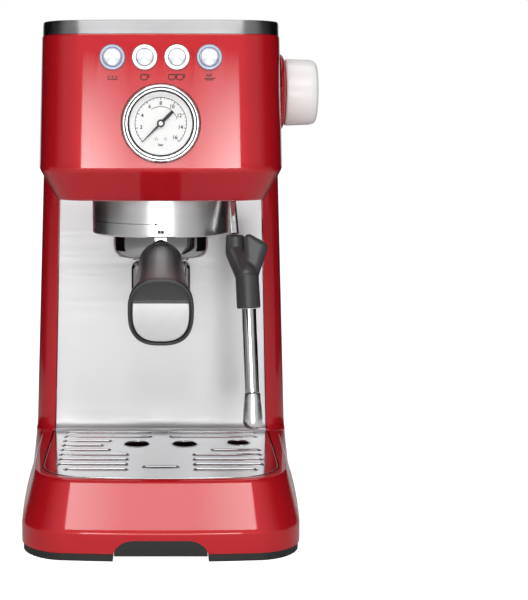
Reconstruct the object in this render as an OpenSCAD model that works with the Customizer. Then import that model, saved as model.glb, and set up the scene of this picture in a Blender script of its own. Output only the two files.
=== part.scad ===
// Compact pump espresso machine with a brew group, portafilter, steam wand, drip tray and water tank.
// X runs to the machine's right, -Y is the front and Z is up. The origin is the middle of the footprint.

/* [Body] */
// Height of the cup shelf rim above the counter
body_h = 360; // [356:1:366]
// Half of the body's depth at the counter
foot_y = 160; // [158:1:164]
// Half width of the base at its front corners
base_w = 95.5; // [93:0.5:97]
// Height of the ridge around the drip tray
ridge_z = 51.6; // [50:0.2:53]
// Half width of the head at its front corners, where it is widest
head_w = 84.7; // [83:0.1:86]
// Distance of the head's front from the middle of the footprint
head_y = 115; // [113:1:117]
// Height of the head's widest line
head_z = 258.5; // [256:0.5:260]
// Height of the head's underside
head_low = 236.8; // [235:0.2:238]
// Wall of the coated shells
wall = 2.4; // [2:0.1:3]

/* [Controls] */
// Distance between two buttons
button_pitch = 21.8; // [20:0.2:23]
// Height of the row of buttons
button_z = 335; // [333:1:337]
// Radius of a button's cap
cap_r = 5.8; // [5.4:0.1:6]
// Travel of a button
button_travel = 1.2; // [0.8:0.1:1.4]
// Height of the pressure gauge's centre
gauge_z = 290.4; // [288:0.2:292]
// Outer radius of the gauge's bezel
bezel_r = 26.7; // [26:0.1:27.5]
// Outer radius of the steam knob
knob_r = 24.7; // [22:0.1:26]
// Height of the steam knob's axis
knob_z = 312.5; // [308:0.5:316]

/* [Brew group] */
// Distance of the group's axis in front of the middle of the footprint
group_y = 44.3; // [43:0.1:46]
// Outer radius of the group's collar
collar_r = 50; // [49:0.2:51]
// Outer radius of the portafilter's bowl
bowl_r = 33.9; // [33:0.1:34.5]
// Downward slope of the portafilter's handle in degrees
handle_slope = 10.4; // [8:0.2:12]

/* [Steam wand] */
// Radius of the wand's ball
ball_r = 7; // [6.5:0.1:7.4]
// Outer radius of the wand's sleeve
sleeve_r = 5; // [4.5:0.1:5.5]

/* [Drip tray] */
// Half width of the drip grille
tray_w = 82.6; // [80:0.2:83]
// Distance between two rows of slots
slot_pitch = 13.75; // [13:0.05:14]

/* [Water tank] */
// Half width of the water tank
tank_w = 84; // [80:1:88]
// Height of the tank's rim
tank_top = 338; // [320:1:342]

/* [Hidden] */
$fn = 48;
// Thickness of the slices that the lofted shells are drawn between
thin = 0.1;
foot_h = 5.5;
crease_z = 19.5;
rear_y = 98;
nose_y = 3;
panel_y = 8;
// Corners of the panel that closes the back of the case
rear_screws = [[-63, 72], [63, 72], [-63, 248], [63, 248]];
group = [0, -group_y, 0];
knob_y = -20;
// The wand's ball, its elbow, its knee, the end of its sleeve and the tip of its nozzle
ball = [50.3, -66, 242];
wand_elbow = [52.8, -75.5, 209];
wand_knee = [61.4, -98, 163];
wand_end = [63.6, -106.3, 104];
wand_tip = [64, -108.4, 78.4];
wand_heading = atan2(wand_elbow[1] - ball[1], wand_elbow[0] - ball[0]);
wand_pin_r = 1.5;
tank_y0 = rear_y + 3;
tank_y1 = foot_y - 2;
tank_z0 = ridge_z + 0.4;
hinge_x = 48;
hinge_y = tank_y1 + 2.2;
hinge_z = tank_top + 2.2;
hinge_pin_r = 0.8;

red = "#b3121d";
steel = "#c9cacb";
black = "#1b1b1d";

// ---- outlines -------------------------------------------------------------------------------

// Right half of a body outline, front centre to rear centre: a bowed front, a round front corner
// of radius rf, a flank that widens from wf to wr, and a round rear corner of radius rr.
function half_outline(yf, yr, wf, wr, rf, rr, bow, flank_end) = concat(
    [for (i = [0:3]) let (x = (wf - rf) * i / 4) [x, yf + bow * pow(i / 4, 2)]],
    [for (a = [0:9:81]) [wf - rf + rf * sin(a), yf + bow + rf * (1 - cos(a))]],
    [for (i = [1:5]) let (t = i / 5) [wf + (wr - wf) * (1 - pow(1 - t, 2)),
                                      yf + bow + rf + (flank_end - yf - bow - rf) * t]],
    [for (a = [0:18:90]) [wr - rr + rr * cos(a), yr - rr + rr * sin(a)]]);

function whole(half) = concat(half, [for (i = [len(half) - 1:-1:1]) [-half[i][0], half[i][1]]]);

// A flat slab of an outline that is moved in by the distance inset.
module slab(z, h, yf, yr, wf, wr, rf, rr, bow, flank_end, inset = 0) {
    translate([0, 0, z]) linear_extrude(h)
        polygon(whole(half_outline(yf + inset, yr - inset, wf - inset, wr - inset,
                                   max(rf - inset, 1), max(rr - inset, 0.5), bow, flank_end)));
}

// Outline of the base: t is 0 at the crease above the foot and 1 at the ridge around the drip tray.
module base_slab(z, h, t, inset = 0) {
    slab(z, h, -foot_y + 16.5 * t, foot_y - t, base_w - 8 * t, base_w + 6 - 9.5 * t,
         33 - 3 * t, 14 - 2 * t, 3, 40, inset);
}

module crease_slab(z, h, inset = 0) {
    base_slab(z, h, 0, inset);
}

module tray_slab(z, h, inset = 0) {
    slab(z, h, -foot_y + 20, -0.2, tray_w - 0.4, tray_w, 32, 1.5, 3.5, -30, inset);
}

module column_slab(z, h, inset = 0) {
    w = head_w + 13.3 - (z - ridge_z) * 0.032;
    slab(z, h, nose_y, rear_y, w - 0.8, w, 12, 6, 0, 30, inset);
}

// Outline of the head: t is 0 on its upright walls and 1 at the foot of the chamfer under it.
module head_slab(z, h, t = 0, inset = 0) {
    w = head_w - max(z - head_z, 0) * 0.026 - 11.4 * t;
    slab(z, h, -head_y + 14 * t, rear_y, w, w + 6.5 - max(z - head_z, 0) * 0.005,
         30 - 8 * t, 6, 2, 30, inset);
}

// ---- housing --------------------------------------------------------------------------------

module foot_rail() {
    color(black) difference() {
        crease_slab(0, foot_h, 1);
        crease_slab(-1, foot_h + 2, 15);
        translate([-32, -foot_y - 5, -1]) cube([64, 40, foot_h + 2]);
    }
}

module base_plate() {
    color(black) difference() {
        crease_slab(foot_h, 10, wall + 3);
        crease_slab(foot_h + 2, 10, wall + 5);
        for (x = [-60, 60], y = [-100, 130])
            translate([x, y, 0]) cylinder(r = 1.8, h = 20);
    }
}

// The finger recess in the middle of the base's front edge.
module arch() {
    translate([0, -foot_y + 8, 0]) rotate([90, 0, 0]) linear_extrude(20)
        polygon([[-31, foot_h - 1], [-18.6, 14.6], [18.6, 14.6], [31, foot_h - 1]]);
}

module base_shell() {
    levels = [[foot_h, 0], [crease_z - 1, 0], [crease_z + 0.6, 0.02], [crease_z + 3, 0.09],
              [ridge_z - 4, 0.88], [ridge_z - 1.5, 0.96], [ridge_z - 0.5, 1.03], [ridge_z - thin, 1.1]];
    color(red) difference() {
        union() {
            for (i = [0:len(levels) - 2]) hull() {
                base_slab(levels[i][0], thin, levels[i][1]);
                base_slab(levels[i + 1][0], thin, levels[i + 1][1]);
            }
            hull() {
                slab(crease_z, thin, nose_y - 30, foot_y, base_w + 3, base_w + 6, 20, 14, 0, 40);
                slab(ridge_z - thin, thin, nose_y, foot_y - 0.5, head_w + 12.5, head_w + 13.3,
                     12, 14, 0, 30);
            }
        }
        crease_slab(foot_h - 1, crease_z - foot_h + 1.1, wall + 0.2);
        tray_slab(crease_z - 1, 40, -0.8);
        hull() {
            slab(crease_z, thin, 9, rear_y - 3, base_w - 4, base_w - 1, 12, 5, 0, 40);
            slab(ridge_z + 1, thin, 9, rear_y - 3, head_w + 9, head_w + 9, 12, 5, 0, 30);
        }
        translate([-80, rear_y + 2, crease_z - 1])
            cube([160, foot_y - rear_y - 6, ridge_z - crease_z - 3]);
        translate([0, foot_y - 30, ridge_z - 6]) cylinder(r = 9, h = 10);
        translate([-45, foot_y + 5, 30]) rotate([90, 0, 0]) cylinder(r = 6.2, h = 20);
        translate([33.4, foot_y - 10, 23.4]) cube([23.2, 20, 14.2]);
        translate([0, rear_y - 6, 34]) rotate([-90, 0, 0]) cylinder(r = 4.2, h = 12);
        arch();
    }
}

// A screw with its head at the origin and its shank along +Z.
module screw(head_r, shank_r, length) {
    cylinder(r = head_r, h = 1.8);
    cylinder(r = shank_r, h = length);
}

module case_screws() {
    color(steel) {
        for (x = [-60, 60], y = [-100, 130])
            translate([x, y, foot_h - 1.8]) screw(3.4, 1.7, 8);
        for (p = rear_screws)
            translate([p[0], rear_y + 2.7, p[1]]) rotate([90, 0, 0]) screw(2.6, 1.3, 8);
    }
}

module column_shell() {
    color(red) difference() {
        hull() {
            column_slab(ridge_z, thin);
            column_slab(head_z - 0.1, thin);
        }
        hull() {
            column_slab(ridge_z - 1, thin, wall);
            column_slab(head_z + 1, thin, wall);
        }
        translate([0, nose_y - 5, 0]) rotate([-90, 0, 0]) linear_extrude(12)
            polygon([[-82, -ridge_z + 1], [82, -ridge_z + 1], [77, -head_z - 1], [-77, -head_z - 1]]);
        translate([-60, rear_y - 5, 75]) cube([120, 20, 170]);
        for (p = rear_screws)
            translate([p[0], rear_y + 4, p[1]]) rotate([90, 0, 0]) cylinder(r = 1.5, h = 14);
    }
}

// A flat sheet and, just below it, the quarter-round curl that meets the grille.
module splash_panel() {
    bend = 4.2;
    joint = 0.06;
    bend_z = ridge_z + bend + 1.2;
    color(steel) {
        translate([0, panel_y + 1, 0]) rotate([90, 0, 0]) linear_extrude(1)
            polygon([[-81.8, bend_z + joint], [81.8, bend_z + joint],
                     [77, head_low + 4], [-77, head_low + 4]]);
        translate([-81.8, panel_y - bend, bend_z]) rotate([90, 0, 90]) linear_extrude(163.6)
            intersection() {
                difference() {
                    circle(bend + 1);
                    circle(bend);
                }
                translate([0, -bend - 1]) square(bend + 1);
            }
    }
}

module head_shell() {
    levels = [[head_low, 1.05], [head_low + 0.8, 0.975], [head_low + 3, 0.87],
              [head_z - 3, 0.12], [head_z - 1, 0.04], [head_z + 1.5, 0.004],
              [head_z + 4, 0], [body_h - 40, 0], [body_h - 9.6, 0]];
    color(red) difference() {
        for (i = [0:len(levels) - 2]) hull() {
            head_slab(levels[i][0], thin, levels[i][1]);
            head_slab(levels[i + 1][0], thin, levels[i + 1][1]);
        }
        hull() {
            head_slab(head_low - 2, thin, 1.1, wall);
            head_slab(head_z, thin, 0.03, wall);
            head_slab(body_h, thin, 0, wall);
        }
        translate([-100, nose_y, head_low - 5]) cube([200, 120, head_z - head_low + 5.05]);
        for (i = [-1.5:1:1.5])
            translate([i * button_pitch, -head_y + 5, button_z]) rotate([90, 0, 0])
                cylinder(r = cap_r + 2.9, h = 20);
        translate([0, -head_y + 5, gauge_z]) rotate([90, 0, 0]) cylinder(r = 24.2, h = 20);
        translate([75, knob_y, knob_z]) rotate([0, 90, 0]) cylinder(r = 9, h = 30);
        on_knob(87.55) cylinder(r = 28.5, h = 10, $fn = 96);
    }
}

module head_floor() {
    color(red) difference() {
        slab(head_low - 0.2, 2, -head_y + 16.6, panel_y - 0.4, head_w - 14, head_w - 9, 20, 1, 2, 3);
        translate([0, -group_y, head_low - 3]) cylinder(r = collar_r - 2.6, h = 10);
        translate([ball[0], ball[1], head_low - 3]) cylinder(r = ball_r + 3, h = 10);
    }
}

module top_rim() {
    color(steel) difference() {
        head_slab(body_h - 9.5, 9.5, 0, 0.6);
        head_slab(body_h - 10.5, 20, 0, 3.2);
    }
}

module cup_shelf() {
    color(steel) difference() {
        head_slab(body_h - 6, 1.6, 0, 3.4);
        for (x = [-50:20:50], y = [-75:18:69])
            translate([x, y, body_h - 7]) cylinder(r = 3, h = 4, $fn = 24);
    }
}

module rear_panel() {
    color(black) difference() {
        translate([-66, rear_y + 0.2, 68]) cube([132, 1.6, 184]);
        for (z = [90:12:174], x = [-36, 0, 36])
            translate([x - 13, rear_y - 1, z]) cube([26, 4, 4]);
        for (p = rear_screws) translate([p[0], rear_y + 4, p[1]]) rotate([90, 0, 0]) {
            cylinder(r = 1.5, h = 9);
            cylinder(r = 2.8, h = 3.15);
        }
    }
}

// A bent sheet: a floor plate, two uprights at the back and a deck that the group hangs from.
module inner_frame() {
    deck_z = 262.4;
    color("#8f9396") {
        difference() {
            translate([-84, 12, ridge_z - 3]) cube([168, rear_y - 18, 2]);
            translate([0, 60, ridge_z - 5]) cylinder(r = 7, h = 6);
        }
        for (x = [-72, 56])
            translate([x, rear_y - 8, ridge_z - 2.5]) cube([16, 2, body_h - ridge_z - 12]);
        difference() {
            translate([-70, -92, deck_z]) cube([140, rear_y + 85, 1.6]);
            translate([-27, -93, deck_z - 1]) cube([54, 13, 4]);
        }
        for (x = [-68, 54])
            translate([x, panel_y + 3, head_low + 2]) cube([14, 2, deck_z - head_low - 1]);
    }
}

module power_switch_housing() {
    color(black) translate([45, foot_y, 30.5]) difference() {
        union() {
            translate([-11.4, -11.4, -6.9]) cube([22.8, 12, 13.8]);
            translate([-13, 0.2, -8.5]) cube([26, 1.4, 17]);
        }
        translate([-10, -9, -5.5]) cube([20, 20, 11]);
    }
}

module power_rocker() {
    color("#2a2a2c") translate([45, foot_y - 3, 30.5]) rotate([7, 0, 0]) {
        rotate([0, 90, 0]) translate([0, 0, -9.5]) cylinder(r = 2.4, h = 19);
        translate([-9.5, 0, -4.6]) cube([19, 4, 9.2]);
    }
}

module cord_gland() {
    color(black) translate([-45, foot_y - 6, 30]) rotate([-90, 0, 0]) difference() {
        union() {
            cylinder(r = 8.5, h = 1.6);
            cylinder(r = 6, h = 8);
            translate([0, 0, 6.2]) cylinder(r = 9, h = 2);
            translate([0, 0, 8]) cylinder(r1 = 6.6, r2 = 5.2, h = 6);
        }
        translate([0, 0, -1]) cylinder(r = 3.6, h = 30);
    }
}

// ---- controls -------------------------------------------------------------------------------

module button_cap(i) {
    translate([(i - 1.5) * button_pitch, -head_y, button_z]) rotate([-90, 0, 0]) {
        translate([0, 0, -2.6]) cylinder(r = cap_r, h = 6);
        cylinder(r = 2.2, h = 8);
    }
}

module button_program() {
    color("#b9bfc9") button_cap(0);
}

module button_one_cup() {
    color("#d8d9da") button_cap(1);
}

module button_two_cups() {
    color("#d8d9da") button_cap(2);
}

module button_steam() {
    color("#b9bfc9") button_cap(3);
}

// One ring round a button, from radius a to radius b and from depth y0 to y1 behind the front.
module control_ring(i, a, b, y0, y1) {
    translate([(i - 1.5) * button_pitch, -head_y + y0, button_z]) rotate([-90, 0, 0])
        rotate_extrude() translate([a, 0]) square([b - a, y1 - y0]);
}

module button_rings() {
    color("#3b4660") for (i = [0:3])
        control_ring(i, cap_r + 0.15, cap_r + 0.7, -2, 4);
}

module light_rings() {
    color("white") for (i = [0:3])
        control_ring(i, cap_r + 0.75, cap_r + 2.8, -1.6, 4);
}

module switch_board() {
    color("#2f6b3c") translate([-44, -head_y + 11.5, button_z - 9]) cube([88, 1.6, 17]);
}

module micro_switches() {
    color(black) for (i = [-1.5:1:1.5])
        translate([i * button_pitch - 3, -head_y + 9.6, button_z - 3]) cube([6, 1.8, 6]);
}

module control_board() {
    color("#2f6b3c") translate([-75, -55, 266]) cube([1.6, 100, 70]);
    color(black) {
        translate([-73.3, -30, 275]) cube([14, 18, 18]);
        translate([-73.3, 10, 275]) cube([12, 20, 26]);
        translate([-75, -50, 264]) cube([6, 90, 2]);
    }
}

module on_gauge() {
    translate([0, -head_y, gauge_z]) rotate([-90, 0, 0]) children();
}

module gauge_case() {
    color(black) on_gauge() difference() {
        translate([0, 0, -0.4]) cylinder(r = 24, h = 28);
        translate([0, 0, -1]) cylinder(r = 22.6, h = 26);
    }
}

module gauge_dial() {
    color("white") on_gauge() difference() {
        translate([0, 0, 2.5]) cylinder(r = 22.5, h = 22.5);
        translate([0, 0, 3.5]) cylinder(r = 21.5, h = 30);
        translate([0, 0, 2]) cylinder(r = 1.05, h = 3);
    }
}

// The pointer at rest on zero: 135 degrees anticlockwise from the top, seen from the front.
module gauge_needle() {
    color(black) on_gauge() {
        translate([0, 0, 0.4]) cylinder(r = 2.7, h = 1.6);
        translate([0, 0, 0.4]) cylinder(r = 1, h = 6);
        rotate([0, 0, 135]) translate([0, 0, 0.9]) linear_extrude(0.7) {
            polygon([[2, -0.8], [18.2, -0.15], [18.2, 0.15], [2, 0.8]]);
            translate([-11.6, -1.1]) square([9.4, 2.2]);
        }
    }
}

module gauge_glass() {
    color("#dfe8ee") on_gauge() translate([0, 0, -1.6]) cylinder(r = 21.3, h = 1.2);
}

module gauge_bezel() {
    color(steel) on_gauge() rotate_extrude($fn = 96)
        polygon([[24.1, 0], [bezel_r, 0], [bezel_r, -2.4], [25.4, -4], [24, -4.2],
                 [21.4, -1.9], [21.4, -0.7], [22.4, -0.7], [22.4, -0.5], [24.1, -0.5]]);
}

module gauge_tube() {
    color("#b87333") {
        translate([0, -head_y + 27.8, gauge_z]) rotate([-90, 0, 0]) cylinder(r = 1.5, h = 9.1);
        translate([0, -head_y + 27.8, gauge_z]) rotate([-90, 0, 0]) cylinder(r = 4, h = 5, $fn = 6);
    }
}

module on_knob(x) {
    translate([x, knob_y, knob_z]) rotate([0, 90, 0]) children();
}

module knob_boss() {
    color(red) on_knob(87.6) rotate_extrude($fn = 96)
        polygon([[6, 0], [28.4, 0], [28.4, 0.6], [26.6, 1.6], [25.6, 3.6], [6, 3.6]]);
}

module steam_knob() {
    color("#efefee") on_knob(91.6) rotate_extrude($fn = 96)
        polygon([[0, 0], [knob_r, 0], [knob_r - 0.9, 20], [knob_r - 1.9, 22.6],
                 [knob_r - 4, 23.8], [0, 23.8]]);
    color(steel) on_knob(64) cylinder(r = 4, h = 28);
}

module steam_valve() {
    color("#c9a24a") difference() {
        union() {
            translate([46, knob_y - 11, knob_z - 16]) cube([17, 22, 27]);
            on_knob(63) cylinder(r = 8, h = 6);
        }
        on_knob(62) cylinder(r = 4.05, h = 10);
    }
}

// ---- brew group -----------------------------------------------------------------------------

module group_collar() {
    color(steel) translate(group) rotate_extrude($fn = 128)
        polygon([[collar_r - 2, 210.3], [collar_r - 0.6, 210.3], [collar_r, 211],
                 [collar_r, head_low - 0.4], [collar_r - 2, head_low - 0.4]]);
}

// Bayonet ring: an inner groove that the bowl's two lugs turn in, and a lip with two entry gaps.
module group_head() {
    color("#3a3b3d") translate(group) difference() {
        union() {
            translate([0, 0, 212]) cylinder(r = collar_r - 2.2, h = 24.4);
            translate([0, 0, 236.3]) cylinder(r = 42.4, h = 25.7);
        }
        translate([0, 0, 214.6]) cylinder(r = 41.5, h = 6.9);
        translate([0, 0, 211]) cylinder(r = bowl_r + 1.6, h = 11);
        for (a = [-50, 130]) rotate([0, 0, a]) translate([28, -12, 211]) cube([13, 24, 9]);
        translate([0, 0, 221]) cylinder(r = 34.4, h = 10);
        translate([0, 0, 224]) cylinder(r = 3, h = 40);
    }
}

module group_seal() {
    color("#7a2f2a") translate(group) translate([0, 0, 222.2]) difference() {
        cylinder(r = 34.2, h = 8.6);
        translate([0, 0, -1]) cylinder(r = 28.6, h = 20);
    }
}

module shower_screen() {
    color(steel) translate(group) difference() {
        union() {
            translate([0, 0, 219]) cylinder(r = 26.6, h = 2);
            translate([0, 0, 221]) cylinder(r = 28.2, h = 9.9);
        }
        translate([0, 0, 220.4]) cylinder(r = 25.6, h = 8);
        for (r = [8, 14, 20], a = [0:360 / (r * 1.5):359])
            rotate([0, 0, a]) translate([r, 0, 218]) cylinder(r = 0.9, h = 4, $fn = 16);
        translate([0, 0, 218]) cylinder(r = 2.2, h = 20);
    }
}

module screen_screw() {
    color(steel) translate(group) {
        translate([0, 0, 217.2]) cylinder(r = 5, h = 1.7);
        translate([0, 0, 217.2]) cylinder(r = 2.1, h = 20);
    }
}

module thermoblock() {
    color("#a9acad") {
        difference() {
            translate([-42, -78, 264.2]) cube([84, 108, 34]);
            translate([0, -group_y, 263]) cylinder(r = 4, h = 4);
        }
        for (x = [-30, 30], y = [-66, 18])
            translate([x, y, 298.2]) cylinder(r = 4, h = 3, $fn = 6);
    }
}

module pump() {
    color("#c9a24a") translate([0, 50, 96]) rotate([0, 90, 0]) {
        translate([0, 0, -66]) cylinder(r = 9, h = 132);
        translate([0, 0, -72]) cylinder(r = 4, h = 144);
    }
    color(black) translate([-26, 27, 73]) cube([52, 46, 46]);
}

module pump_mounts() {
    color(black) for (x = [-50, 42])
        translate([x, 50, 96]) difference() {
            union() {
                rotate([0, 90, 0]) cylinder(r = 14, h = 8);
                translate([0, -14, 50.7 - 96]) cube([8, 28, 96 - 50.7]);
            }
            translate([-1, 0, 0]) rotate([0, 90, 0]) cylinder(r = 9.1, h = 10);
        }
}

module flow_meter() {
    color("#e6e3da") translate([-48, 78, 150]) rotate([90, 0, 0]) {
        cylinder(r = 14, h = 12);
        translate([0, 0, 12]) cylinder(r = 10, h = 2);
    }
    color("#e6e3da") translate([-62, 72, 147]) cube([28, 6, 6]);
}

module solenoid_valve() {
    color(black) translate([48, 44, 266]) cube([22, 26, 30]);
    color("#c9a24a") translate([59, 57, 296]) cylinder(r = 5, h = 14);
}

// Straight runs of pipe joined by round elbows at the given points.
module pipe_run(points, r) {
    for (i = [0:len(points) - 2]) {
        d = points[i + 1] - points[i];
        l = norm(d);
        translate(points[i]) rotate([0, acos(d[2] / l), atan2(d[1], d[0])])
            cylinder(r = r, h = l, $fn = 24);
    }
    for (i = [1:len(points) - 2])
        translate(points[i]) sphere(r = r * 1.3, $fn = 24);
}

module water_pipes() {
    color("#e8e8e4") {
        pipe_run([[0, foot_y - 30, 46], [0, foot_y - 30, 34], [0, 60, 34], [0, 60, 58],
                  [-48, 60, 58], [-48, 71.5, 58], [-48, 71.5, 135.9]], 3);
        pipe_run([[72, 50, 96], [78, 50, 96], [78, 50, 180], [78, 36, 250],
                  [78, 36, 282], [43.6, 20.7, 282]], 3);
    }
}

// ---- portafilter ----------------------------------------------------------------------------

module portafilter_bowl() {
    color("#d5d6d8") translate(group) {
        difference() {
            rotate_extrude($fn = 96)
                polygon([[0, 192.1], [bowl_r - 6, 192.1], [bowl_r - 2.2, 193.4],
                         [bowl_r - 0.4, 196.4], [bowl_r, 199.5], [bowl_r, 220.8], [0, 220.8]]);
            translate([0, 0, 195.6]) cylinder(r = 31.2, h = 40);
            translate([0, 0, 180]) cylinder(r = 4, h = 40);
        }
        intersection() {
            difference() {
                translate([0, 0, 215.4]) cylinder(r = 40.6, h = 4.6);
                translate([0, 0, 210]) cylinder(r = bowl_r - 0.2, h = 20);
            }
            translate([-50, -10, 210]) cube([100, 20, 20]);
        }
        translate([0, 0, 200.1]) rotate([90 + handle_slope, 0, 0]) translate([0, 0, bowl_r - 2])
            cylinder(r = 10.5, h = 10);
    }
}

module filter_basket() {
    color(steel) translate(group) difference() {
        union() {
            translate([0, 0, 198]) cylinder(r = 30.4, h = 22.9);
            translate([0, 0, 220.9]) cylinder(r = 33.4, h = 1);
        }
        translate([0, 0, 198.6]) cylinder(r = 29.6, h = 40);
        for (r = [5, 11, 17, 23], a = [0:360 / (r * 1.2):359])
            rotate([0, 0, a]) translate([r, 0, 197]) cylinder(r = 0.5, h = 4, $fn = 16);
    }
}

module portafilter_spouts() {
    color("#d5d6d8") translate(group) difference() {
        union() {
            translate([0, 0, 181]) cylinder(r = 9, h = 11.1);
            translate([-16, 0, 183.5]) rotate([0, 90, 0]) cylinder(r = 5.7, h = 32);
            for (s = [-1, 1])
                translate([s * 16, 0, 166.4]) cylinder(r = 5.7, h = 17.1);
            for (s = [-1, 1])
                translate([s * 16, 0, 183.5]) sphere(r = 5.7);
        }
        translate([0, 0, 186]) cylinder(r = 3, h = 10);
        for (s = [-1, 1])
            translate([s * 16, 0, 166]) cylinder(r = 4.4, h = 14);
    }
}

// Places its children with +Z along the handle, from the bowl's axis outwards.
module on_handle() {
    translate([0, -group_y, 200.1]) rotate([handle_slope, 0, 0]) rotate([90, 0, 0]) children();
}

module handle_ferrule() {
    color("#4a4b4d") on_handle() rotate_extrude()
        polygon([[0, bowl_r + 8.2], [14.2, bowl_r + 8.2], [15.4, bowl_r + 9.4],
                 [15.4, bowl_r + 12.6], [0, bowl_r + 12.6]]);
}

// One cross-section of the grip: its distance from the axis, width, height and corner radius.
module grip_slice(c) {
    translate([0, 0, c[0]]) linear_extrude(thin) hull()
        for (x = [-1, 1], y = [-1, 1])
            translate([x * (c[1] / 2 - c[3]), y * (c[2] / 2 - c[3])]) circle(r = c[3], $fn = 32);
}

// Outline of the plate in the end of the grip.
module plate_outline(r) {
    hull() for (x = [-5, 5])
        translate([x, 0]) circle(r = r, $fn = 32);
}

module portafilter_handle() {
    slices = [[bowl_r + 12.8, 31, 31, 15.4], [80, 33, 34, 16.2], [120, 36.4, 38.4, 17],
              [146, 40.6, 42.6, 17], [153, 39.4, 41.4, 16.5]];
    color("#232325") on_handle() difference() {
        union() {
            for (i = [0:len(slices) - 2]) hull() {
                grip_slice(slices[i]);
                grip_slice(slices[i + 1]);
            }
        }
        translate([0, -4.2, 151.4]) linear_extrude(5) plate_outline(12.6);
    }
}

module handle_plate() {
    color(steel) on_handle() translate([0, -4.2, 151.4]) linear_extrude(1.2) plate_outline(12.4);
}

// ---- steam wand -----------------------------------------------------------------------------

// A straight piece between two points, r0 at the first and r1 at the second.
module rod(a, b, r0, r1) {
    d = b - a;
    translate(a) rotate([0, acos(d[2] / norm(d)), atan2(d[1], d[0])])
        cylinder(r1 = r0, r2 = r1, h = norm(d));
}

module wand_socket() {
    color(black) translate([ball[0], ball[1], 0]) difference() {
        translate([0, 0, head_low + 2]) cylinder(r = ball_r + 4, h = 14);
        translate([0, 0, head_low - 1]) cylinder(r = ball_r + 0.3, h = 15.4);
    }
}

module wand_ball() {
    color(steel) translate(ball) difference() {
        sphere(r = ball_r, $fn = 64);
        rotate([0, 0, wand_heading]) {
            translate([-4.5, -3.1, -20]) cube([20, 6.2, 23]);
            rotate([90, 0, 0]) cylinder(r = wand_pin_r + 0.05, h = 20, center = true);
        }
    }
}

module wand_pipe() {
    color(steel) {
        rod(ball, ball + (wand_elbow - ball) * 0.91, 2.9, 2.9);
        translate(ball) rotate([0, 0, wand_heading]) rotate([90, 0, 0])
            cylinder(r = wand_pin_r, h = 11, center = true);
    }
}

module wand_grip() {
    color(black) {
        hull() {
            translate([wand_elbow[0], wand_elbow[1], wand_elbow[2] + 1]) cylinder(r = 6.4, h = 1, $fn = 32);
            translate([wand_elbow[0] + 0.6, wand_elbow[1] - 2, wand_elbow[2] - 10]) sphere(r = 7.6, $fn = 32);
        }
        hull() {
            translate([wand_elbow[0] + 0.6, wand_elbow[1] - 2, wand_elbow[2] - 10]) sphere(r = 7.6, $fn = 32);
            translate(wand_knee + [-1.6, 4, 22]) sphere(r = 8.2, $fn = 32);
        }
        rod(wand_knee + [0, 0, -1.5], wand_knee + [-1.2, 3.2, 22], 8.4, 8.2);
        hull() {
            translate([70.4, -87, 203]) sphere(r = 5, $fn = 24);
            translate([62, -86, 209]) sphere(r = 3.6, $fn = 24);
            translate([63, -95, 182]) sphere(r = 4.6, $fn = 24);
        }
    }
}

module wand_sleeve() {
    color(steel) rod(wand_knee + (wand_knee - wand_end) * -0.03, wand_end, sleeve_r, sleeve_r);
}

module wand_nozzle() {
    length = wand_tip - wand_end;
    color(steel) {
        rod(wand_end + length * 0.018, wand_end + length * 0.5, sleeve_r + 0.6, 6.9);
        rod(wand_end + length * 0.5, wand_end + length * 0.8, 6.9, 5.8);
        rod(wand_end + length * 0.8, wand_tip, 5.8, 2.6);
    }
}

// ---- drip tray and tank ---------------------------------------------------------------------

module drip_tray() {
    color(black) difference() {
        tray_slab(foot_h + 10.6, ridge_z - foot_h - 11.6, 1);
        tray_slab(foot_h + 12.6, 60, 3);
    }
}

// A slot with round ends from x0 to x1 in row i.
module slot(i, x0, x1) {
    for (s = [x0 + 2.3, x1 - 2.3])
        translate([s, -7.5 - slot_pitch * i, ridge_z - 3]) cylinder(r = 2.3, h = 6);
    translate([x0 + 2.3, -9.8 - slot_pitch * i, ridge_z - 3]) cube([x1 - x0 - 4.6, 4.6, 6]);
}

module drip_grille() {
    color(steel) difference() {
        tray_slab(ridge_z - 0.8, 1.1);
        for (s = [1, 0], i = [0, 1])
            mirror([s, 0, 0]) slot(i, 6.6, 72.6);
        mirror([1, 0, 0]) for (e = [[2, 37], [3, 42.5], [4, 36.8]])
            slot(e[0], e[1], 72.4);
        slot(4, 36.8, 72.4);
        for (s = [0, 1]) mirror([s, 0, 0]) {
            for (i = [5:7])
                slot(i, 23.1, 72.2);
            slot(8, 23.1, 66.2);
        }
        slot(7.5, -12.5, 12.5);
        for (s = [-1, 1])
            translate([s * 17.7, -group_y, ridge_z - 3]) cylinder(r = 9.2, h = 6);
        translate([57.8, -40, ridge_z - 3]) cylinder(r = 8.1, h = 6);
    }
}

module tank_slab(z, h, inset = 0) {
    slab(z, h, tank_y0, tank_y1, tank_w, tank_w, 8, 16, 0, tank_y0 + 20, inset);
}

module water_tank() {
    color("#c4cfd6") difference() {
        union() {
            tank_slab(tank_z0, tank_top - tank_z0);
            translate([0, foot_y - 30, ridge_z - 6]) cylinder(r = 8, h = 8);
        }
        tank_slab(tank_z0 + 3, tank_top, 2.6);
        translate([0, foot_y - 30, ridge_z - 7]) cylinder(r = 5, h = 20);
    }
    color("#c4cfd6") for (x = [-hinge_x, hinge_x]) translate([x, hinge_y, hinge_z]) {
        rotate([0, 90, 0]) cylinder(r = hinge_pin_r, h = 20, center = true);
        for (side = [-9.6, 9.6]) {
            translate([side, 0, 0]) rotate([0, 90, 0]) cylinder(r = 1.7, h = 2.4, center = true);
            translate([side - 1.2, -1.9, -3.2]) cube([2.4, 3.6, 3.2]);
            translate([side - 1.2, tank_y1 - 0.5 - hinge_y, -8]) cube([2.4, hinge_y + 2.2 - tank_y1, 5.6]);
        }
    }
}

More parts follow.
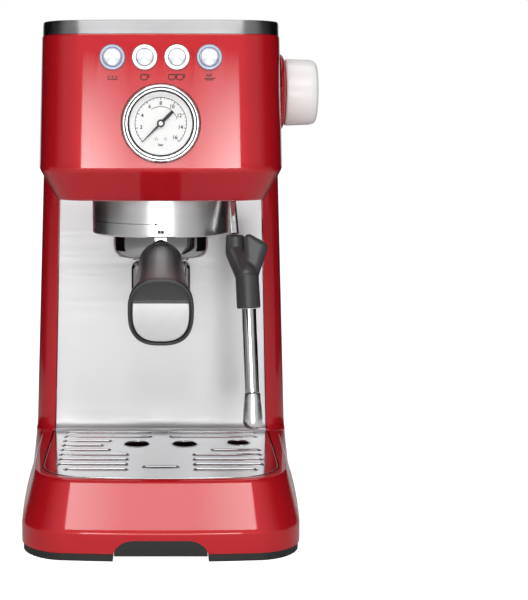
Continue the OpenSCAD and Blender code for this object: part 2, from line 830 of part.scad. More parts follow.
// A flat cover with a finger lip at the front, hinged on a rod along its rear edge.
module tank_lid() {
    color(black) for (x = [-hinge_x, hinge_x]) translate([x, hinge_y, hinge_z]) difference() {
        union() {
            rotate([0, 90, 0]) cylinder(r = 1.8, h = 16, center = true);
            translate([-8, -3.6, -1.2]) cube([16, 3.6, 2.2]);
        }
        rotate([0, 90, 0]) cylinder(r = hinge_pin_r + 0.05, h = 18, center = true);
    }
    color(black) {
        tank_slab(tank_top + 0.4, 2.4, 0.4);
        difference() {
            tank_slab(tank_top + 2.7, 8, 0.4);
            tank_slab(tank_top + 4.6, 8, 3.4);
        }
        translate([-22, tank_y1 - 13, tank_top + 4]) cube([44, 8, 4]);
    }
}

foot_rail();
base_plate();
base_shell();
column_shell();
splash_panel();
head_shell();
head_floor();
top_rim();
cup_shelf();
rear_panel();
case_screws();
inner_frame();
power_switch_housing();
power_rocker();
cord_gland();
button_program();
button_one_cup();
button_two_cups();
button_steam();
button_rings();
light_rings();
switch_board();
micro_switches();
control_board();
gauge_case();
gauge_dial();
gauge_needle();
gauge_glass();
gauge_bezel();
gauge_tube();
knob_boss();
steam_knob();
steam_valve();
group_collar();
group_head();
group_seal();
shower_screen();
screen_screw();
thermoblock();
pump();
pump_mounts();
flow_meter();
solenoid_valve();
water_pipes();
portafilter_bowl();
filter_basket();
portafilter_spouts();
handle_ferrule();
portafilter_handle();
handle_plate();
wand_socket();
wand_ball();
wand_pipe();
wand_grip();
wand_sleeve();
wand_nozzle();
drip_tray();
drip_grille();
water_tank();
tank_lid();
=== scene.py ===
import bpy, bmesh, math
from mathutils import Matrix, Vector


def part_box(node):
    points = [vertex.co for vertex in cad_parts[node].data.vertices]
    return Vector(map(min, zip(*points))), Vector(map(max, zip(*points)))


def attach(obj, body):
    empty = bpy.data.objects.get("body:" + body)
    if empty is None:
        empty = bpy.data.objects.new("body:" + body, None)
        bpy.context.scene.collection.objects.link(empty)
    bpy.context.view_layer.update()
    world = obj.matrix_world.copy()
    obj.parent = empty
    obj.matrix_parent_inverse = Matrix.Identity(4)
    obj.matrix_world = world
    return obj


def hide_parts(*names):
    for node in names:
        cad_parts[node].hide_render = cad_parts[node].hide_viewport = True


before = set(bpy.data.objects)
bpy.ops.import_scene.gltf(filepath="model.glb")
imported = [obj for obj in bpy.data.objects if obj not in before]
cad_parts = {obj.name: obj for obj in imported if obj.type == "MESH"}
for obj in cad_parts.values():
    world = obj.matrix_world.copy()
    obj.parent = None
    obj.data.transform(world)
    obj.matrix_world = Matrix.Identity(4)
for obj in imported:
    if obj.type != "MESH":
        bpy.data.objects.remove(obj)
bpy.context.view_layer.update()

# ---- Studio ---------------------------------------------------------------------------------
# A pale seamless floor in a white room that is bright in front, dark at the sides and weak behind.
# Two glowing panels stand in front, a soft box hangs overhead, and black flags stand at both sides.
camera = bpy.data.objects.new("camera", bpy.data.cameras.new("camera"))
bpy.context.collection.objects.link(camera)
camera.location = (0.0, -1.053, 0.2994)
camera.rotation_euler = (math.radians(90 - 5.38), 0, 0)
camera.data.lens = 82.8
camera.data.sensor_width = 36
camera.data.shift_x = 0.172
camera.data.shift_y = -0.10
camera.data.clip_start = 0.01
bpy.context.scene.camera = camera

floor_mesh = bpy.data.meshes.new("studio_floor")
floor_mesh.from_pydata([(-6, -6, 0), (6, -6, 0), (6, 6, 0), (-6, 6, 0)], [], [(0, 1, 2, 3)])
floor = bpy.data.objects.new("studio_floor", floor_mesh)
bpy.context.collection.objects.link(floor)
floor_material = bpy.data.materials.new("studio_floor")
floor_material.use_nodes = True
floor_shader = floor_material.node_tree.nodes["Principled BSDF"]
floor_shader.inputs["Base Color"].default_value = (0.85, 0.85, 0.85, 1)
floor_shader.inputs["Roughness"].default_value = 0.7
floor_shader.inputs["Emission Color"].default_value = (1, 1, 1, 1)
floor_wires, floor_nodes = floor_material.node_tree.links, floor_material.node_tree.nodes
floor_path, floor_lift = floor_nodes.new("ShaderNodeLightPath"), floor_nodes.new("ShaderNodeMath")
floor_lift.operation = "MULTIPLY"
floor_lift.inputs[1].default_value = 0.95
floor_place, floor_parts = floor_nodes.new("ShaderNodeTexCoord"), floor_nodes.new("ShaderNodeSeparateXYZ")
floor_dim, floor_mix = floor_nodes.new("ShaderNodeMapRange"), floor_nodes.new("ShaderNodeMix")
floor_hold = floor_nodes.new("ShaderNodeMath")
floor_dim.inputs["From Min"].default_value, floor_dim.inputs["From Max"].default_value = 0.15, 0.6
floor_hold.operation = "SUBTRACT"
floor_hold.use_clamp = True
floor_mix.data_type = "RGBA"
floor_mix.inputs["A"].default_value = (0.85, 0.85, 0.85, 1)
floor_mix.inputs["B"].default_value = (0.03, 0.03, 0.03, 1)
floor_wires.new(floor_place.outputs["Object"], floor_parts.inputs["Vector"])
floor_wires.new(floor_parts.outputs["Y"], floor_dim.inputs["Value"])
floor_wires.new(floor_dim.outputs["Result"], floor_hold.inputs[0])
floor_wires.new(floor_path.outputs["Is Camera Ray"], floor_hold.inputs[1])
floor_wires.new(floor_hold.outputs["Value"], floor_mix.inputs["Factor"])
floor_wires.new(floor_mix.outputs["Result"], floor_shader.inputs["Base Color"])
floor_wires.new(floor_path.outputs["Is Camera Ray"], floor_lift.inputs[0])
floor_wires.new(floor_lift.outputs["Value"], floor_shader.inputs["Emission Strength"])
floor.data.materials.append(floor_material)


def glow_panel(name, place, aim, width, height, strength, edge_gain, top_fade):
    """A diffusing panel: brighter toward its two upright edges, and fading toward its top."""
    x, y = width / 2, height / 2
    mesh = bpy.data.meshes.new(name)
    mesh.from_pydata([(-x, -y, 0), (x, -y, 0), (x, y, 0), (-x, y, 0)], [], [(0, 1, 2, 3)])
    glow = bpy.data.objects.new(name, mesh)
    bpy.context.collection.objects.link(glow)
    glow.location = place
    glow.rotation_euler = (Vector(aim) - Vector(place)).to_track_quat("Z", "Y").to_euler()
    material = bpy.data.materials.new(name)
    material.use_nodes = True
    nodes, links = material.node_tree.nodes, material.node_tree.links
    shader = nodes["Principled BSDF"]
    shader.inputs["Base Color"].default_value = (0, 0, 0, 1)
    shader.inputs["Specular IOR Level"].default_value = 0
    shader.inputs["Emission Color"].default_value = (1, 1, 1, 1)
    spot, split = nodes.new("ShaderNodeTexCoord"), nodes.new("ShaderNodeSeparateXYZ")
    across, both = nodes.new("ShaderNodeMath"), nodes.new("ShaderNodeMath")
    side, rise = nodes.new("ShaderNodeMapRange"), nodes.new("ShaderNodeMapRange")
    across.operation, both.operation = "ABSOLUTE", "MULTIPLY"
    side.inputs["From Min"].default_value, side.inputs["From Max"].default_value = width * 0.18, width * 0.46
    side.inputs["To Min"].default_value, side.inputs["To Max"].default_value = strength, strength * edge_gain
    rise.inputs["From Min"].default_value, rise.inputs["From Max"].default_value = -height * 0.1, height * 0.5
    rise.inputs["To Min"].default_value, rise.inputs["To Max"].default_value = 1, top_fade
    links.new(spot.outputs["Object"], split.inputs["Vector"])
    links.new(split.outputs["X"], across.inputs[0])
    links.new(across.outputs["Value"], side.inputs["Value"])
    links.new(split.outputs["Y"], rise.inputs["Value"])
    links.new(side.outputs["Result"], both.inputs[0])
    links.new(rise.outputs["Result"], both.inputs[1])
    links.new(both.outputs["Value"], shader.inputs["Emission Strength"])
    glow.data.materials.append(material)
    glow.visible_camera = False


glow_panel("front_panel", (0, -1.5, 0.20), (0, 0, 0.20), 0.66, 0.46, 6.0, 2.4, 0.03)
glow_panel("front_top_panel", (0, -1.41, 1.24), (0, -0.15, 0.05), 0.96, 0.52, 4.6, 1.7, 1.0)
top_box = bpy.data.objects.new("top_box", bpy.data.lights.new("top_box", "AREA"))
bpy.context.collection.objects.link(top_box)
top_box.data.shape = "RECTANGLE"
top_box.data.size, top_box.data.size_y = 1.4, 1.0
top_box.data.energy = 9
top_box.location = (0, 0.1, 1.9)
top_box.rotation_euler = (Vector((0, 0, 0.2)) - top_box.location).to_track_quat("-Z", "Y").to_euler()

flag_material = bpy.data.materials.new("black_flag")
flag_material.use_nodes = True
flag_shader = flag_material.node_tree.nodes["Principled BSDF"]
flag_shader.inputs["Base Color"].default_value = (0.01, 0.01, 0.01, 1)
flag_shader.inputs["Specular IOR Level"].default_value = 0
for side in (-0.66, 0.66):
    flag_corners = [(side, 0.02, 0.001), (side, 1.3, 0.001), (side, 1.3, 0.9), (side, 0.02, 0.9)]
    flag_mesh = bpy.data.meshes.new("black_flag")
    flag_mesh.from_pydata(flag_corners, [], [(0, 1, 2, 3)])
    flag = bpy.data.objects.new("black_flag_left" if side < 0 else "black_flag_right", flag_mesh)
    bpy.context.collection.objects.link(flag)
    flag.data.materials.append(flag_material)
    flag.visible_camera = False

world = bpy.data.worlds.new("studio_room")
bpy.context.scene.world = world
world.use_nodes = True
room, wires = world.node_tree.nodes, world.node_tree.links
backdrop, walls = room["Background"], room.new("ShaderNodeBackground")
backdrop.inputs["Color"].default_value = (1, 1, 1, 1)
backdrop.inputs["Strength"].default_value = 1.0
sees, pick = room.new("ShaderNodeLightPath"), room.new("ShaderNodeMixShader")
away, parts = room.new("ShaderNodeTexCoord"), room.new("ShaderNodeSeparateXYZ")
fade = room.new("ShaderNodeMapRange")
fade.inputs["From Min"].default_value = -0.62
fade.inputs["From Max"].default_value = -0.22
fade.inputs["To Min"].default_value = 0.72
fade.inputs["To Max"].default_value = 0.02
wires.new(away.outputs["Generated"], parts.inputs["Vector"])
wires.new(parts.outputs["Y"], fade.inputs["Value"])
rear, sum_up = room.new("ShaderNodeMapRange"), room.new("ShaderNodeMath")
rear.inputs["From Min"].default_value = 0.3
rear.inputs["From Max"].default_value = 0.9
rear.inputs["To Max"].default_value = 0.6
wires.new(parts.outputs["Y"], rear.inputs["Value"])
wires.new(fade.outputs["Result"], sum_up.inputs[0])
wires.new(rear.outputs["Result"], sum_up.inputs[1])
wires.new(sum_up.outputs["Value"], walls.inputs["Strength"])
wires.new(sees.outputs["Is Camera Ray"], pick.inputs["Fac"])
wires.new(walls.outputs["Background"], pick.inputs[1])
wires.new(backdrop.outputs["Background"], pick.inputs[2])
wires.new(pick.outputs["Shader"], room["World Output"].inputs["Surface"])
bpy.context.scene.view_settings.view_transform = "Standard"

# ---- Base and column ------------------------------------------------------------------------
# The base and the column with its two forward wings are deep-drawn shells 2.4 mm thick. They are
# welded, ground smooth and powder coated in red under a clear gloss lacquer.
MM = 0.001
BASE_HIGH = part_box("base_shell")[1].z / MM
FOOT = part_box("base_shell")[1].y / MM
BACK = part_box("head_shell")[1].y / MM
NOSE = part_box("column_shell")[0].y / MM
HEAD_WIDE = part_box("column_shell")[1].z / MM
CREASE = 19.5
WALL = 2.4
COLUMN_HALF, COLUMN_TAPER = 98.0, 0.032


def half_outline(front, back, front_half, back_half, corner, back_corner, bow, flank_end):
    """Right half of a plan outline: a bowed front, a round corner that leaves it smoothly, a widening
    flank and a small rear corner."""
    lean = math.atan(2 * bow / max(front_half - corner, 1))
    start = front_half - corner + corner * math.sin(lean)
    points = [(start * i / 16, front + bow * (i / 16) ** 2) for i in range(16)]
    for i in range(33):
        a = lean + (math.radians(84) - lean) * i / 32
        points.append((start + corner * (math.sin(a) - math.sin(lean)),
                       front + bow + corner * (math.cos(lean) - math.cos(a))))
    x0, y0 = points[-1]
    for i in range(1, 15):
        t = i / 14
        points.append((x0 + (back_half - x0) * (1 - (1 - t) ** 2), y0 + (flank_end - y0) * t))
    for i in range(10):
        a = math.pi / 2 * i / 9
        points.append((back_half - back_corner + back_corner * math.cos(a),
                       back - back_corner + back_corner * math.sin(a)))
    return points


def outline(*sizes, inset=0):
    front, back, front_half, back_half, corner, back_corner, bow, flank_end = sizes
    right = half_outline(front + inset, back - inset, front_half - inset, back_half - inset,
                         max(corner - inset, 1), max(back_corner - inset, 0.5), bow, flank_end)
    return right + [(-x, y) for x, y in reversed(right[1:])]


def base_outline(t, inset=0):
    return outline(-FOOT + 16.5 * t, FOOT - t, 95.5 - 8 * t, 101.5 - 9.5 * t, 33 - 3 * t, 14 - 2 * t, 3, 40,
                   inset=inset)


def column_outline(z, forward=0, inset=0):
    half = COLUMN_HALF - (z - BASE_HIGH) * COLUMN_TAPER
    return outline(NOSE - forward, BACK, half - 0.8, half, 19, 6, 0, 30, inset=inset)


def tray_outline(inset=0):
    return outline(-FOOT + 20, -0.2, 82.2, 82.6, 32, 1.5, 3.5, -30, inset=inset)


def new_piece(name, mesh, body):
    piece = bpy.data.objects.new(name, mesh)
    bpy.context.collection.objects.link(piece)
    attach(piece, body)
    return piece


def ring_faces(rings, count, closed_loop=False):
    """Quads from each ring of points to the next, and from the last back to the first in a closed loop."""
    faces = []
    for r in range(rings if closed_loop else rings - 1):
        a, b = r * count, (r + 1) % rings * count
        for i in range(count):
            j = (i + 1) % count
            faces.append((a + i, a + j, b + j, b + i))
    return faces


def end_caps(rings, count):
    return [tuple(range(count - 1, -1, -1)), tuple(range((rings - 1) * count, rings * count))]


def outward_mesh(name, verts, faces, weld=0):
    """A mesh with its faces turned outwards, and with double points welded where a distance is given."""
    mesh = bpy.data.meshes.new(name)
    mesh.from_pydata(verts, [], faces)
    tidy = bmesh.new()
    tidy.from_mesh(mesh)
    if weld:
        bmesh.ops.remove_doubles(tidy, verts=tidy.verts, dist=weld)
    bmesh.ops.recalc_face_normals(tidy, faces=tidy.faces)
    tidy.to_mesh(mesh)
    tidy.free()
    return mesh


def loft_mesh(name, rings, closed_loop=False):
    """Skins a stack of (z, outline) rings in millimetres; the ends are capped unless they close the loop."""
    verts = [(x * MM, y * MM, z * MM) for z, points in rings for x, y in points]
    count = len(rings[0][1])
    faces = ring_faces(len(rings), count, closed_loop)
    if not closed_loop:
        faces += end_caps(len(rings), count)
    return outward_mesh(name, verts, faces)


def prism_mesh(name, points, low, high, axis="Z"):
    """A straight prism of a closed list of points, run along one axis from low to high, in millimetres."""
    turns = {"Z": lambda x, y, z: (x, y, z), "Y": lambda x, y, z: (x, z, y), "X": lambda x, y, z: (z, x, y)}
    turn = turns[axis]
    count = len(points)
    verts = [tuple(c * MM for c in turn(x, y, z)) for z in (low, high) for x, y in points]
    faces = [tuple(range(count)), tuple(range(2 * count - 1, count - 1, -1))]
    faces += [(i, (i + 1) % count, (i + 1) % count + count, i + count) for i in range(count)]
    return outward_mesh(name, verts, faces)


def circle_points(x, y, radius, count=64):
    return [(x + radius * math.cos(2 * math.pi * i / count), y + radius * math.sin(2 * math.pi * i / count))
            for i in range(count)]


def settle(piece):
    """Bakes the piece's modifiers into its mesh."""
    graph = bpy.context.evaluated_depsgraph_get()
    graph.update()
    mesh = bpy.data.meshes.new_from_object(piece.evaluated_get(graph))
    piece.modifiers.clear()
    piece.data = mesh


def trim(piece, mesh, how="DIFFERENCE"):
    """Cuts a mesh out of the piece, or joins it on."""
    tool = bpy.data.objects.new("tool", mesh)
    bpy.context.collection.objects.link(tool)
    cut = piece.modifiers.new("cut", "BOOLEAN")
    cut.operation = how
    cut.solver = "EXACT"
    cut.object = tool
    settle(piece)
    bpy.data.objects.remove(tool)


def soften(piece, width, angle=34, segments=3):
    """Rounds the sharp edges by a width in millimetres and shades the rest smooth."""
    weld = piece.modifiers.new("weld", "WELD")
    weld.merge_threshold = 0.00001
    edge = piece.modifiers.new("edge", "BEVEL")
    edge.width = width * MM
    edge.segments = segments
    edge.limit_method = "ANGLE"
    edge.angle_limit = math.radians(angle)
    settle(piece)
    piece.data.shade_smooth()
    piece.data.set_sharp_from_angle(angle=math.radians(42))
    normals = piece.modifiers.new("normals", "WEIGHTED_NORMAL")
    normals.keep_sharp = True
    normals.weight = 90
    settle(piece)


def coat(piece, material):
    """Leaves the piece with one material."""
    piece.data.materials.clear()
    piece.data.materials.append(material)


def speck_group():
    """Fine coating texture: a slow orange peel and a faint variation in gloss."""
    group = bpy.data.node_groups.new("coating_texture", "ShaderNodeTree")
    for label, start in (("Peel Size", 260), ("Gloss Low", 0.08), ("Gloss High", 0.16)):
        socket = group.interface.new_socket(label, in_out="INPUT", socket_type="NodeSocketFloat")
        socket.default_value = start
    group.interface.new_socket("Height", in_out="OUTPUT", socket_type="NodeSocketFloat")
    group.interface.new_socket("Roughness", in_out="OUTPUT", socket_type="NodeSocketFloat")
    nodes, links = group.nodes, group.links
    given, result = nodes.new("NodeGroupInput"), nodes.new("NodeGroupOutput")
    place = nodes.new("ShaderNodeTexCoord")
    peel, smear = nodes.new("ShaderNodeTexNoise"), nodes.new("ShaderNodeTexNoise")
    smear.inputs["Scale"].default_value = 22
    smear.inputs["Detail"].default_value = 5
    gloss = nodes.new("ShaderNodeMapRange")
    links.new(place.outputs["Object"], peel.inputs["Vector"])
    links.new(place.outputs["Object"], smear.inputs["Vector"])
    links.new(given.outputs["Peel Size"], peel.inputs["Scale"])
    links.new(smear.outputs["Fac"], gloss.inputs["Value"])
    links.new(given.outputs["Gloss Low"], gloss.inputs["To Min"])
    links.new(given.outputs["Gloss High"], gloss.inputs["To Max"])
    links.new(peel.outputs["Fac"], result.inputs["Height"])
    links.new(gloss.outputs["Result"], result.inputs["Roughness"])
    return group


coating_texture = speck_group()


def plain_material(name, colour, roughness, metallic=0.0):
    material = bpy.data.materials.new(name)
    material.use_nodes = True
    shader = material.node_tree.nodes["Principled BSDF"]
    shader.inputs["Base Color"].default_value = (*colour, 1)
    shader.inputs["Roughness"].default_value = roughness
    shader.inputs["Metallic"].default_value = metallic
    return material, shader


def coated_material(name, colour, low, high, peel, bump, clear):
    material, shader = plain_material(name, colour, low)
    nodes, links = material.node_tree.nodes, material.node_tree.links
    texture = nodes.new("ShaderNodeGroup")
    texture.node_tree = coating_texture
    texture.inputs["Gloss Low"].default_value = low
    texture.inputs["Gloss High"].default_value = high
    texture.inputs["Peel Size"].default_value = peel
    relief = nodes.new("ShaderNodeBump")
    relief.inputs["Strength"].default_value = bump
    relief.inputs["Distance"].default_value = 0.0002
    links.new(texture.outputs["Height"], relief.inputs["Height"])
    links.new(relief.outputs["Normal"], shader.inputs["Normal"])
    links.new(texture.outputs["Roughness"], shader.inputs["Roughness"])
    shader.inputs["Coat Weight"].default_value = clear
    shader.inputs["Coat Roughness"].default_value = 0.035
    shader.inputs["Specular IOR Level"].default_value = 0.12
    return material


red_lacquer = coated_material("red_lacquer", (0.545, 0.006, 0.014), 0.42, 0.50, 240, 0.04, 1.0)
red_lacquer.node_tree.nodes["Principled BSDF"].inputs["Metallic"].default_value = 0.28

base_steps = [(5.5, 0), (6.1, 0), (CREASE - 1.6, 0), (CREASE - 0.6, 0), (CREASE + 0.6, 0.015),
              (CREASE + 2.4, 0.075), (BASE_HIGH - 4.6, 0.86), (BASE_HIGH - 2.6, 0.925),
              (BASE_HIGH - 1.2, 0.985), (BASE_HIGH - 0.3, 1.05), (BASE_HIGH, 1.12)]
base_rings = [(z, base_outline(t)) for z, t in base_steps]
body = new_piece("body_shell", loft_mesh("body_shell", base_rings), "housing")
shoulder = [(CREASE + 0.4, outline(NOSE - 34, FOOT - 0.3, 98.4, 101.4, 22, 14, 0, 40)),
            (BASE_HIGH - 14, outline(NOSE - 16, FOOT - 0.6, 97.2, 99.6, 23, 14, 0, 34)),
            (BASE_HIGH - 0.05, outline(NOSE - 9, FOOT - 0.8, 96.9, 97.9, 20, 14, 0, 30))]
trim(body, loft_mesh("shoulder", shoulder), "UNION")
FILLET_RISE, FILLET_REACH = 10.6, 10
column_rings = []
for step in range(10):
    a = math.radians(10 * step)
    z = BASE_HIGH - 0.6 + FILLET_RISE * (1 - math.cos(a))
    column_rings.append((z, column_outline(z, FILLET_REACH * (1 - math.sin(a)))))
column_rings += [(z, column_outline(z)) for z in (100, 150, 200, HEAD_WIDE - 1.2)]
column_rings += [(HEAD_WIDE - 0.15, column_outline(HEAD_WIDE, -0.3, 0.3))]
trim(body, loft_mesh("column", column_rings), "UNION")
trim(body, prism_mesh("tray_bay", tray_outline(-0.8), CREASE, BASE_HIGH + 0.6))
trim(body, loft_mesh("column_inside", [(BASE_HIGH - 22, column_outline(BASE_HIGH, -6, WALL)),
                                       (HEAD_WIDE + 5, column_outline(HEAD_WIDE, -6, WALL))]))
between_low, between_high = BASE_HIGH - 0.4, HEAD_WIDE + 3
between_wings = [(-82.3, between_low), (82.3, between_low), (77.3, between_high), (-77.3, between_high)]
trim(body, prism_mesh("between_wings", between_wings, NOSE - 20, NOSE + 8, "Y"))
trim(body, loft_mesh("base_inside", [(z, base_outline(0, WALL + 0.2)) for z in (0, CREASE - 1)]))
ARCH_FLAT, ARCH_END, ARCH_RISE = 17, 14.4, 9.8
quarter = [math.radians(degrees) for degrees in range(0, 91, 9)]
right_arch = [(ARCH_FLAT + ARCH_END, 0)]
right_arch += [(ARCH_FLAT + ARCH_END * math.cos(a), 4.8 + ARCH_RISE * math.sin(a)) for a in quarter]
arch = right_arch + [(-x, z) for x, z in reversed(right_arch)]
trim(body, prism_mesh("foot_arch", arch, -FOOT - 6, -FOOT + 9, "Y"))
trim(body, prism_mesh("cord_hole", circle_points(-45, 30, 6.2), FOOT - 10, FOOT + 5, "Y"))
switch_hole = [(33.4, 23.4), (56.6, 23.4), (56.6, 37.6), (33.4, 37.6)]
trim(body, prism_mesh("switch_hole", switch_hole, FOOT - 10, FOOT + 5, "Y"))
soften(body, 0.7)
coat(body, red_lacquer)
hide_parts("base_shell", "column_shell")

# ---- Head -----------------------------------------------------------------------------------
# One drawn shell, coated like the base. It tapers in toward the top and has a chamfer round its foot,
# and it is cut out for the buttons, the gauge and the knob's spindle. A coated floor closes it below.
HEAD_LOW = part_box("head_shell")[0].z / MM
HEAD_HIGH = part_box("head_shell")[1].z / MM
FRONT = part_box("head_shell")[0].y / MM
HEAD_HALF, HEAD_TAPER = 84.7, 0.026


def head_outline(z, t=0, inset=0):
    """The head's plan at a height; t runs the chamfer in from 0 to about 1."""
    climb = max(z - HEAD_WIDE, 0)
    half = HEAD_HALF - climb * HEAD_TAPER - 11.4 * t
    return outline(FRONT + 14 * t, BACK, half, half + 6.5 - climb * 0.005, 30 - 8 * t, 6, 2, 30, inset=inset)


def middle(node):
    low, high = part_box(node)
    return (low + high) / 2


def dress(material, *node_names):
    """Gives CAD nodes a material."""
    for node_name in node_names:
        coat(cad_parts[node_name], material)


head_steps = [(HEAD_LOW, 1.06), (HEAD_LOW + 0.5, 0.99), (HEAD_LOW + 1.6, 0.925), (HEAD_LOW + 3.4, 0.84),
              (HEAD_WIDE - 3.4, 0.145), (HEAD_WIDE - 1.6, 0.06), (HEAD_WIDE + 0.2, 0.015),
              (HEAD_WIDE + 2.4, 0), (HEAD_WIDE + 46, 0), (HEAD_HIGH - 1, 0)]
outer = [(z, head_outline(z, t)) for z, t in head_steps] + [(HEAD_HIGH, head_outline(HEAD_HIGH, 0, 0.5))]
inner = [(HEAD_HIGH, head_outline(HEAD_HIGH, 0, WALL)), (HEAD_WIDE, head_outline(HEAD_WIDE, 0.04, WALL)),
         (HEAD_LOW, head_outline(HEAD_LOW, 1.06, WALL))]
head = new_piece("head_cover", loft_mesh("head_cover", outer + inner, closed_loop=True), "housing")
column_room = [(-120, NOSE), (120, NOSE), (120, 200), (-120, 200)]
trim(head, prism_mesh("column_room", column_room, HEAD_LOW - 5, HEAD_WIDE))
BUTTONS = ["button_program", "button_one_cup", "button_two_cups", "button_steam"]
for hole_name, radius in [(button, 8.75) for button in BUTTONS] + [("gauge_bezel", 24.3)]:
    at = middle(hole_name) / MM
    trim(head, prism_mesh("front_hole", circle_points(at.x, at.z, radius), FRONT - 6, FRONT + 8, "Y"))
GAUGE, KNOB = middle("gauge_bezel"), middle("steam_knob")
trim(head, prism_mesh("knob_hole", circle_points(KNOB.y / MM, KNOB.z / MM, 9), 78, 100, "X"))
soften(head, 0.5)
coat(head, red_lacquer)
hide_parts("head_shell")
dress(red_lacquer, "head_floor")


# ---- Foot rail and base plate ---------------------------------------------------------------
# A moulded black rubber rail carries the machine. The pressed base plate closes the shell above it.
# The rear panel, the tray, the lid and the small housings are moulded in the same grained black.
def grained_material(name, colour, roughness, grain, bump, clear=0.0):
    """Moulded plastic or rubber with a spark-eroded grain."""
    material, shader = plain_material(name, colour, roughness)
    nodes, links = material.node_tree.nodes, material.node_tree.links
    place, noise = nodes.new("ShaderNodeTexCoord"), nodes.new("ShaderNodeTexNoise")
    noise.inputs["Scale"].default_value = grain
    noise.inputs["Detail"].default_value = 3
    relief, gloss = nodes.new("ShaderNodeBump"), nodes.new("ShaderNodeMapRange")
    relief.inputs["Strength"].default_value = bump
    relief.inputs["Distance"].default_value = 0.0002
    gloss.inputs["To Min"].default_value = roughness - 0.06
    gloss.inputs["To Max"].default_value = roughness + 0.08
    links.new(place.outputs["Object"], noise.inputs["Vector"])
    links.new(noise.outputs["Fac"], relief.inputs["Height"])
    links.new(relief.outputs["Normal"], shader.inputs["Normal"])
    links.new(noise.outputs["Fac"], gloss.inputs["Value"])
    links.new(gloss.outputs["Result"], shader.inputs["Roughness"])
    shader.inputs["Coat Weight"].default_value = clear
    return material


rubber_black = grained_material("rubber_black", (0.013, 0.013, 0.014), 0.55, 900, 0.25)
plastic_black = grained_material("plastic_black", (0.012, 0.012, 0.013), 0.34, 1400, 0.12)
dress(rubber_black, "foot_rail", "cord_gland", "pump_mounts")
dress(plastic_black, "base_plate", "rear_panel", "power_switch_housing", "power_rocker", "tank_lid",
      "drip_tray", "wand_socket", "micro_switches", "gauge_case")

# ---- Recess shade ---------------------------------------------------------------------------
# A black sheet set just inside the finger recess under the base's front: painted shade, dark where the
# recess falls into shadow. It follows the recess's arch, a little smaller, and closes the view to the base
# plate behind.
shade_sheet_outline = [(x * 0.995, max(z - 0.1, 3.3)) for x, z in arch]
shade_sheet_mesh = prism_mesh("recess_shade_sheet", shade_sheet_outline, -FOOT + 2.2, -FOOT + 5.6, "Y")
recess_shade_sheet = new_piece("recess_shade_sheet", shade_sheet_mesh, "housing")
soften(recess_shade_sheet, 0.3)
coat(recess_shade_sheet, plastic_black)

# ---- Top rim --------------------------------------------------------------------------------
# A band of stainless sheet round the head's top edge, brushed along its length and rolled over inwards.
# It is pressed onto the coated shell.
def brush_group():
    """Brushing: long scratches stretched along one axis, with broader bands of lighter and darker steel."""
    group = bpy.data.node_groups.new("brush_lines", "ShaderNodeTree")
    stretch = group.interface.new_socket("Stretch", in_out="INPUT", socket_type="NodeSocketVector")
    stretch.default_value = (20, 20, 2000)
    group.interface.new_socket("Height", in_out="OUTPUT", socket_type="NodeSocketFloat")
    group.interface.new_socket("Mask", in_out="OUTPUT", socket_type="NodeSocketFloat")
    nodes, links = group.nodes, group.links
    given, result = nodes.new("NodeGroupInput"), nodes.new("NodeGroupOutput")
    place, scale = nodes.new("ShaderNodeTexCoord"), nodes.new("ShaderNodeMapping")
    scratch, bands = nodes.new("ShaderNodeTexNoise"), nodes.new("ShaderNodeTexNoise")
    scratch.inputs["Scale"].default_value = 1
    scratch.inputs["Detail"].default_value = 6
    scratch.inputs["Roughness"].default_value = 0.7
    bands.inputs["Scale"].default_value = 0.12
    bands.inputs["Detail"].default_value = 4
    links.new(place.outputs["Object"], scale.inputs["Vector"])
    links.new(given.outputs["Stretch"], scale.inputs["Scale"])
    links.new(scale.outputs["Vector"], scratch.inputs["Vector"])
    links.new(scale.outputs["Vector"], bands.inputs["Vector"])
    links.new(scratch.outputs["Fac"], result.inputs["Height"])
    whole, half = nodes.new("ShaderNodeMath"), nodes.new("ShaderNodeMath")
    whole.operation, half.operation = "MULTIPLY_ADD", "MULTIPLY"
    whole.inputs[1].default_value = half.inputs[1].default_value = 0.5
    links.new(bands.outputs["Fac"], half.inputs[0])
    links.new(scratch.outputs["Fac"], whole.inputs[0])
    links.new(half.outputs["Value"], whole.inputs[2])
    links.new(whole.outputs["Value"], result.inputs["Mask"])
    return group


brush_lines = brush_group()


def steel_material(name, stretch, dark, light, low, high, bump=0.0, smear=0.0):
    """Steel or brass with brushing lines; smear stretches its reflections upright, across level brushing."""
    material, shader = plain_material(name, light, low, 1.0)
    nodes, links = material.node_tree.nodes, material.node_tree.links
    if smear:
        upright = nodes.new("ShaderNodeCombineXYZ")
        upright.inputs["Z"].default_value = 1
        shader.inputs["Anisotropic"].default_value = smear
        links.new(upright.outputs["Vector"], shader.inputs["Tangent"])
    brush = nodes.new("ShaderNodeGroup")
    brush.node_tree = brush_lines
    brush.inputs["Stretch"].default_value = stretch
    shade, gloss = nodes.new("ShaderNodeMix"), nodes.new("ShaderNodeMapRange")
    relief = nodes.new("ShaderNodeBump")
    shade.data_type = "RGBA"
    shade.inputs["A"].default_value = (*dark, 1)
    shade.inputs["B"].default_value = (*light, 1)
    gloss.inputs["From Min"].default_value = 0.3
    gloss.inputs["From Max"].default_value = 0.7
    gloss.inputs["To Min"].default_value = low
    gloss.inputs["To Max"].default_value = high
    relief.inputs["Strength"].default_value = bump
    relief.inputs["Distance"].default_value = 0.0001
    links.new(brush.outputs["Mask"], shade.inputs["Factor"])
    links.new(shade.outputs["Result"], shader.inputs["Base Color"])
    links.new(brush.outputs["Mask"], gloss.inputs["Value"])
    links.new(gloss.outputs["Result"], shader.inputs["Roughness"])
    links.new(brush.outputs["Height"], relief.inputs["Height"])
    links.new(relief.outputs["Normal"], shader.inputs["Normal"])
    return material


